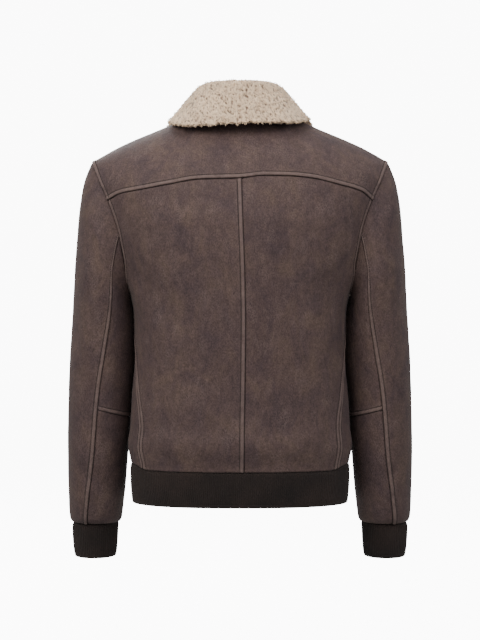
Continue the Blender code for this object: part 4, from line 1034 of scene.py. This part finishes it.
COLLAR_WALL = 0.0070
LEAF_SWELL = 0.0040  # the wool is left longer at the leaf's edge
COLLAR_SEAT = 0.0010
ROLL_RADIUS = 0.0115
CollarPlane = namedtuple("CollarPlane", "angle roll_r roll_z edge_r edge_z")
COLLAR = (
    CollarPlane(0.0, 0.0830, 0.0342, 0.1070, -0.0252),
    CollarPlane(25.0, 0.0815, 0.0342, 0.1120, -0.0255),
    CollarPlane(45.0, 0.0755, 0.0332, 0.1215, -0.0235),
    CollarPlane(65.0, 0.0705, 0.0290, 0.1195, -0.0160),
    CollarPlane(90.0, 0.0685, 0.0230, 0.1100, -0.0045),
    CollarPlane(110.0, 0.0735, 0.0130, 0.1265, -0.0165),
    CollarPlane(130.0, 0.0850, -0.0010, 0.1470, -0.0540),
    CollarPlane(150.0, 0.0940, -0.0320, 0.1460, -0.1120),
    CollarPlane(165.0, 0.0950, -0.0540, 0.1320, -0.1300),
    CollarPlane(175.0, 0.0940, -0.0630, 0.1250, -0.1180),
)
LEAF_STEPS, ROLL_STEPS, STAND_STEPS = 38, 22, 16
LAST_STEP = LEAF_STEPS + ROLL_STEPS + STAND_STEPS - 1
SWELL_STEPS, FRINGE_STEPS = 14, 5  # counted from the leaf's cut edge
LEAF_SHORTER = 0.0070


def collar_section(turn):
    """The wool side of the collar in one plane through the neck, from the leaf's cut edge up
    over the roll and down inside, with the hide side's points beneath it."""
    base = neck_point(np.array(turn))
    out = base * np.array((1, 1, 0))
    out /= np.linalg.norm(out)
    degrees = math.degrees(math.atan2(base[0], base[1]))
    roll_r, roll_z, edge_r, edge_z = (
        float(read(COLLAR, column, degrees)) for column in CollarPlane._fields[1:]
    )
    base_r, base_z = math.hypot(base[0], base[1]), base[2] + COLLAR_SEAT
    edge, inner, roll = (edge_r, edge_z), (base_r - COLLAR_WALL, base_z), (roll_r, roll_z)

    def tangent(end, turn_sign):
        reach = math.hypot(end[0] - roll[0], end[1] - roll[1])
        facing = math.atan2(end[1] - roll[1], end[0] - roll[0])
        return facing + turn_sign * math.acos(ROLL_RADIUS / reach)

    first, last = tangent(edge, 1), tangent(inner, -1)
    if last < first:
        last += 2 * math.pi
    turns = [first] * LEAF_STEPS + list(np.linspace(first, last, ROLL_STEPS + 1))
    turns += [last] * STAND_STEPS
    walls = [COLLAR_WALL + LEAF_SWELL * max(1 - i / SWELL_STEPS, 0) for i in range(len(turns))]
    on_roll = [
        (roll_r + ROLL_RADIUS * math.cos(a), roll_z + ROLL_RADIUS * math.sin(a)) for a in turns
    ]
    spots = []
    for i, spot in enumerate(on_roll):
        if i < LEAF_STEPS:
            share = i / LEAF_STEPS
            spot = (mix(edge[0], spot[0], share), mix(edge[1], spot[1], share))
        elif i > LEAF_STEPS + ROLL_STEPS:
            share = (i - LEAF_STEPS - ROLL_STEPS) / STAND_STEPS
            spot = (mix(spot[0], inner[0], share), mix(spot[1], inner[1], share))
        spots.append(spot)
    up = np.array((0, 0, 1))
    wool = [out * r + up * z for r, z in spots]
    normals = [out * math.cos(a) + up * math.sin(a) for a in turns]
    hide_side = [p - n * w for p, n, w in zip(wool, normals, walls)]
    return np.array(wool), np.array(normals), np.array(hide_side)


def collar_side(hand, turns):
    sections = [collar_section(turn) for turn in turns]
    flip = np.array((hand, 1, 1))
    return [np.array(part) * flip for part in zip(*sections)]


last_turn = math.pi - math.asin(ZIP_HALF_GAP / NECK_HALF_WIDTH)
fine = np.linspace(0, last_turn, 230)
left_parts = collar_side(1, fine)
right_parts = collar_side(-1, fine[1:])
wool_spots, wool_normals, hide_spots = (
    np.concatenate((right[::-1], left)) for right, left in zip(right_parts, left_parts)
)
# The leaf is turned a little shorter towards the right shoulder.
edge_way = wool_spots[:, 0] - wool_spots[:, 1]
edge_way /= np.linalg.norm(edge_way, axis=-1, keepdims=True)
shorter = LEAF_SHORTER * np.clip((0.055 - wool_spots[:, 0, 0]) / 0.15, 0, 1)
shorter *= np.clip(wool_spots[:, 0, 1] / 0.05, 0, 1)
for step in range(LEAF_STEPS):
    slid = edge_way * (shorter * (1 - step / LEAF_STEPS))[:, None]
    wool_spots[:, step] -= slid
    hide_spots[:, step] -= slid


def curl_lift(point):
    """How high the wool stands at a point: clumps of curls with hollows between them."""
    spot = Vector(point)
    bent = spot + noise.noise_vector(spot * 120.0) * 0.004
    clump = noise.noise(Vector((bent.x * 380, bent.y * 380, bent.z * 250)))
    fine_curl = noise.noise(bent * 700.0)
    return 0.0014 * clump + 0.0010 * fine_curl


def ragged(point):
    """How far the wool stands out past the leaf's cut edge at a point."""
    spot = Vector(point)
    return 0.0042 * noise.noise(spot * 190.0) + 0.0022 * noise.noise(spot * 470.0)


lifts = np.array([[curl_lift(spot) for spot in section] for section in wool_spots])
fringe = np.array([ragged(section[0]) for section in wool_spots])
wool_placed = wool_spots + wool_normals * lifts[..., None]
for step in range(FRINGE_STEPS):
    wool_placed[:, step] += edge_way * (fringe * (1 - step / FRINGE_STEPS))[:, None]
hide_spots[:, 0] += edge_way * (np.roll(fringe, 5) * 0.8 - 0.0030)[:, None]

collar_mesh = bmesh.new()
# The wool's height at each point, kept to paint shade in its hollows and light on its tops.
deep = collar_mesh.verts.layers.float.new("deep")
hide_rows = list(range(0, hide_spots.shape[1], 4)) + [hide_spots.shape[1] - 1]
loop_rows = np.concatenate((wool_placed, hide_spots[:, hide_rows[::-1]]), axis=1)
loop_deep = np.concatenate((lifts / 0.0012, np.zeros((len(lifts), len(hide_rows)))), axis=1)
count = loop_rows.shape[:2]
grid = bmesh.ops.create_grid(collar_mesh, x_segments=count[1] - 1, y_segments=count[0] - 1, size=1)
for vert, place, lift in zip(grid["verts"], loop_rows.reshape(-1, 3), loop_deep.ravel()):
    vert.co = place
    vert[deep] = lift
collar_mesh.verts.ensure_lookup_table()
wool_count = wool_placed.shape[1]
for face in collar_mesh.faces:
    columns = [vert.index % count[1] for vert in face.verts]
    face.material_index = 1 if min(columns) >= wool_count else 0
for row in range(count[0] - 1):
    one, two = row * count[1], (row + 1) * count[1]
    ends = (one + count[1] - 1, one, two, two + count[1] - 1)
    collar_mesh.faces.new([collar_mesh.verts[i] for i in ends])
for row in (0, count[0] - 1):
    rim = [collar_mesh.verts[row * count[1] + i] for i in range(count[1])]
    front = rim[:wool_count]
    back = [rim[wool_count + len(hide_rows) - 1 - k] for k in range(len(hide_rows))]
    for k, (one, two) in enumerate(zip(back, back[1:])):
        span = front[hide_rows[k] : hide_rows[k + 1] + 1]
        collar_mesh.faces.new([one] + span + [two])
bmesh.ops.recalc_face_normals(collar_mesh, faces=collar_mesh.faces)


def curly_wool():
    """Long curly wool: cream locks, with painted shade in the hollows and painted light on their
    tops.
    """
    made = Finish(
        "curly_wool",
        Roughness=0.95,
        Specular_IOR_Level=0.12,
        Sheen_Weight=0.35,
        Sheen_Roughness=0.7,
    )
    place = made.add("TexCoord")
    streak = made.add("Mapping", (place, "Object", "Vector"), Scale=(1.0, 1.0, 0.6))
    on_locks = (streak, "Vector", "Vector")
    locks = made.add("TexNoise", on_locks, Scale=360.0, Detail=4.0, Roughness=0.6, Distortion=1.8)
    clumps = made.add("TexNoise", (place, "Object", "Vector"), Scale=34.0, Detail=3.0)
    # Half the colour comes from the wool's height: painted shade in the hollows, painted light on
    # top.
    height = made.span(made.attribute("deep"), "Fac", -0.7, 0.5, 0.0, 1.0)
    both = made.add("Mix", (locks, "Fac", "A"), (height, "Result", "B"), Factor=0.5)
    creams = made.tones(
        both,
        "Result",
        (0.26, (0.170, 0.097, 0.056)),
        (0.45, (0.680, 0.472, 0.303)),
        (0.60, (0.920, 0.680, 0.445)),
    )
    tint = made.span(clumps, "Fac", 0.35, 0.65, 0.90, 1.08)
    tinted = made.scaled(creams, "Color", tint, "Result")
    lumps = made.bump(1.0, 0.0022, locks, "Fac")
    made.join(made.shader, (tinted, "Vector", "Base Color"), (lumps, "Normal", "Normal"))
    return made.material


long_wool = curly_wool()
collar = make_piece("collar_wool", collar_mesh, long_wool, hide)
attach(collar, "jacket")
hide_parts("collar")

# Loose curls that stand out of the wool, each a short bent lock, thickest along the cut edge.
curl_mesh = bmesh.new()
curl_deep = curl_mesh.verts.layers.float.new("deep")
seed = np.random.default_rng(7)
CURLS, EDGE_CURLS = 3400, 620
CURL_RINGS, CURL_SIDES = 6, 3
for number in range(CURLS):
    at_edge = number < EDGE_CURLS
    section = int(seed.integers(1, wool_placed.shape[0] - 1))
    share = 0 if at_edge else int(seed.integers(0, LAST_STEP + 1))
    root = wool_placed[section, share]
    normal = wool_normals[section, share]
    down = wool_placed[section, max(share - 1, 0)] - wool_placed[section, min(share + 1, LAST_STEP)]
    down /= np.linalg.norm(down)
    side = np.cross(normal, down)
    lean = seed.uniform(-0.9, 0.9)
    way = down * math.cos(lean) + side * math.sin(lean)
    across = np.cross(normal, way)
    size = seed.uniform(0.0010, 0.0019)
    thick = size * seed.uniform(0.20, 0.30)
    turns = np.linspace(-0.5, seed.uniform(3.2, 4.4), CURL_RINGS)
    loops = []
    for k, turn in enumerate(turns):
        middle = root - normal * 0.0004
        middle = middle + way * size * (1 - math.cos(turn)) + normal * size * math.sin(turn) * 0.9
        middle = middle + across * size * 0.35 * (k / (CURL_RINGS - 1) - 0.5)
        outward = normal * math.sin(turn) - way * math.cos(turn)
        slim = thick * (1 if 0 < k < CURL_RINGS - 1 else 0.45)
        ring = []
        for corner in range(CURL_SIDES):
            swing = 2 * math.pi * corner / CURL_SIDES
            spot = middle + outward * slim * math.cos(swing) + across * slim * math.sin(swing)
            vert = curl_mesh.verts.new(spot)
            # Painted light and shade along a curl: paler where it loops out from the wool.
            vert[curl_deep] = 0.5 + 0.3 * math.sin(turn)
            ring.append(vert)
        loops.append(ring)
    for one, two in zip(loops, loops[1:]):
        for i in range(CURL_SIDES):
            j = (i + 1) % CURL_SIDES
            curl_mesh.faces.new((one[i], one[j], two[j], two[i]))
    curl_mesh.faces.new(loops[0][::-1])
    curl_mesh.faces.new(loops[-1])
bmesh.ops.recalc_face_normals(curl_mesh, faces=curl_mesh.faces)
curls = make_piece("collar_curls", curl_mesh, long_wool)
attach(curls, "jacket")

# ---------------------------------------------------------------- zip
# Two woven tapes behind the front edges with a chain of metal teeth between them, closed up
# to just under the collar, and a slider with its pull tab.


def front_line():
    """The middle of the closed front from the hem up, as points and outward directions."""
    hem = np.linspace(HEM_LEVEL, RIB_SEAM_LEVEL, 12)
    low = np.linspace(RIB_SEAM_LEVEL, FRONT_LEVEL, 90)[1:]
    begin = lambda level: ring_point(middle_angle(level, 1, -1), level)
    bulge = np.clip((low - RIB_SEAM_LEVEL) / BULGE_HEIGHT, 0, 1)
    lift = BULGE_FRONT * np.sin(math.pi * bulge) ** 2
    lower = begin(low)
    lower[:, 1] -= lift
    rise = np.linspace(0, 1, 40)[1:]
    upper = shoulder_surface(np.zeros(rise.shape), rise, 1, -1)
    line = np.concatenate((begin(hem), lower, upper)) * np.array((0, 1, 1))
    way = np.gradient(line, axis=0)
    way /= np.linalg.norm(way, axis=-1, keepdims=True)
    out = np.stack((np.zeros(len(way)), -way[:, 2], way[:, 1]), axis=-1)
    return line, out


line, line_out = front_line()
line_run = np.concatenate(([0], np.cumsum(np.linalg.norm(np.diff(line, axis=0), axis=1))))
tape_top = line_run[-1] - 0.006


def on_front(run):
    """Points and outward directions of the closed front at distances up from the hem."""
    place = np.stack([np.interp(run, line_run, line[:, i]) for i in range(3)], axis=-1)
    out = np.stack([np.interp(run, line_run, line_out[:, i]) for i in range(3)], axis=-1)
    return place, out / np.linalg.norm(out, axis=-1, keepdims=True)


def aged_brass():
    made = Finish("aged_brass", Metallic=1.0)
    place = made.add("TexCoord")
    tarnish = made.add("TexNoise", (place, "Object", "Vector"), Scale=420.0, Detail=5.0)
    brasses = made.tones(
        tarnish, "Fac", (0.35, (0.120, 0.090, 0.055)), (0.65, (0.360, 0.285, 0.175))
    )
    rough = made.span(tarnish, "Fac", 0.0, 1.0, 0.28, 0.5)
    scratch = made.bump(0.15, 0.0002, tarnish, "Fac")
    made.join(
        made.shader,
        (brasses, "Color", "Base Color"),
        (rough, "Result", "Roughness"),
        (scratch, "Normal", "Normal"),
    )
    return made.material


def woven_tape():
    made = Finish("zip_tape", Roughness=0.85)
    on_tape = (made.add("TexCoord"), "Object", "Vector")
    ribs = made.add("TexWave", on_tape, Scale=320.0, Distortion=0.6)
    picks = made.add("TexWave", on_tape, Scale=480.0)
    ribs.bands_direction, picks.bands_direction = "X", "Z"
    weave = made.combine("MULTIPLY", (ribs, "Fac"), (picks, "Fac"))
    blacks = made.tones(weave, "Value", (0, (0.010, 0.008, 0.008)), (1, (0.040, 0.032, 0.030)))
    relief = made.bump(0.4, 0.0003, weave, "Value")
    made.join(made.shader, (blacks, "Color", "Base Color"), (relief, "Normal", "Normal"))
    return made.material


TAPE_DEPTH = 0.0042
TAPE_THICK = 0.0010
tape_mesh = bmesh.new()
runs = np.linspace(0.004, tape_top, 150)
spots, outs = on_front(runs)
for side in (-1, 1):
    outline = ((0.0160, 0), (0.0110, 0.0001), (0.0052, 0.0002), (0.0030, 0.0013), (0.0002, 0.0015))
    loop = outline + tuple((x, z - TAPE_THICK) for x, z in reversed(outline))
    rings = []
    for spot, out in zip(spots, outs):
        places = [spot - out * (TAPE_DEPTH - z) + np.array((side * x, 0, 0)) for x, z in loop]
        rings.append([tape_mesh.verts.new(place) for place in places])
    for one, two in zip(rings, rings[1:]):
        for i in range(len(one)):
            j = (i + 1) % len(one)
            tape_mesh.faces.new((one[i], one[j], two[j], two[i]))
    tape_mesh.faces.new(rings[0])
    tape_mesh.faces.new(rings[-1][::-1])
bmesh.ops.recalc_face_normals(tape_mesh, faces=tape_mesh.faces)
tapes = make_piece("zip_tapes", tape_mesh, woven_tape())
tapes.data.set_sharp_from_angle(angle=math.radians(50))
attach(tapes, "jacket")

TOOTH_PITCH = 0.0026
TOOTH_LONG, TOOTH_DEEP, TOOTH_TIP, TOOTH_ROOT = 0.0044, 0.0021, 0.0019, 0.0013
teeth_mesh = bmesh.new()
runs = np.arange(0.008, tape_top - 0.006, TOOTH_PITCH)
spots, outs = on_front(runs)
for number, (spot, out) in enumerate(zip(spots, outs)):
    side = 1 if number % 2 else -1
    across = Vector((1, 0, 0))
    out = Vector(out)
    up = out.cross(across)
    lies = Matrix.Translation(Vector(spot) - out * 0.0019 + across * side * 0.0006)
    turned = Matrix((across, out, up)).transposed().to_4x4()
    tooth = bmesh.ops.create_cube(teeth_mesh, size=1)
    for vert in tooth["verts"]:
        high = TOOTH_TIP if vert.co.x * side < 0 else TOOTH_ROOT
        vert.co = (vert.co.x * TOOTH_LONG, vert.co.y * TOOTH_DEEP, vert.co.z * high)
    bmesh.ops.transform(teeth_mesh, matrix=lies @ turned, verts=tooth["verts"])
bmesh.ops.bevel(
    teeth_mesh, geom=teeth_mesh.edges, offset=0.00035, segments=1, affect="EDGES", profile=0.5
)
brass = aged_brass()
teeth = make_piece("zip_teeth", teeth_mesh, brass)
teeth.data.set_sharp_from_angle(angle=math.radians(35))
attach(teeth, "jacket")
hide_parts("zip_tape_and_chain")

for name in ("zip_slider", "zip_pull_tab"):
    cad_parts[name].data.materials.clear()
    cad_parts[name].data.materials.append(brass)
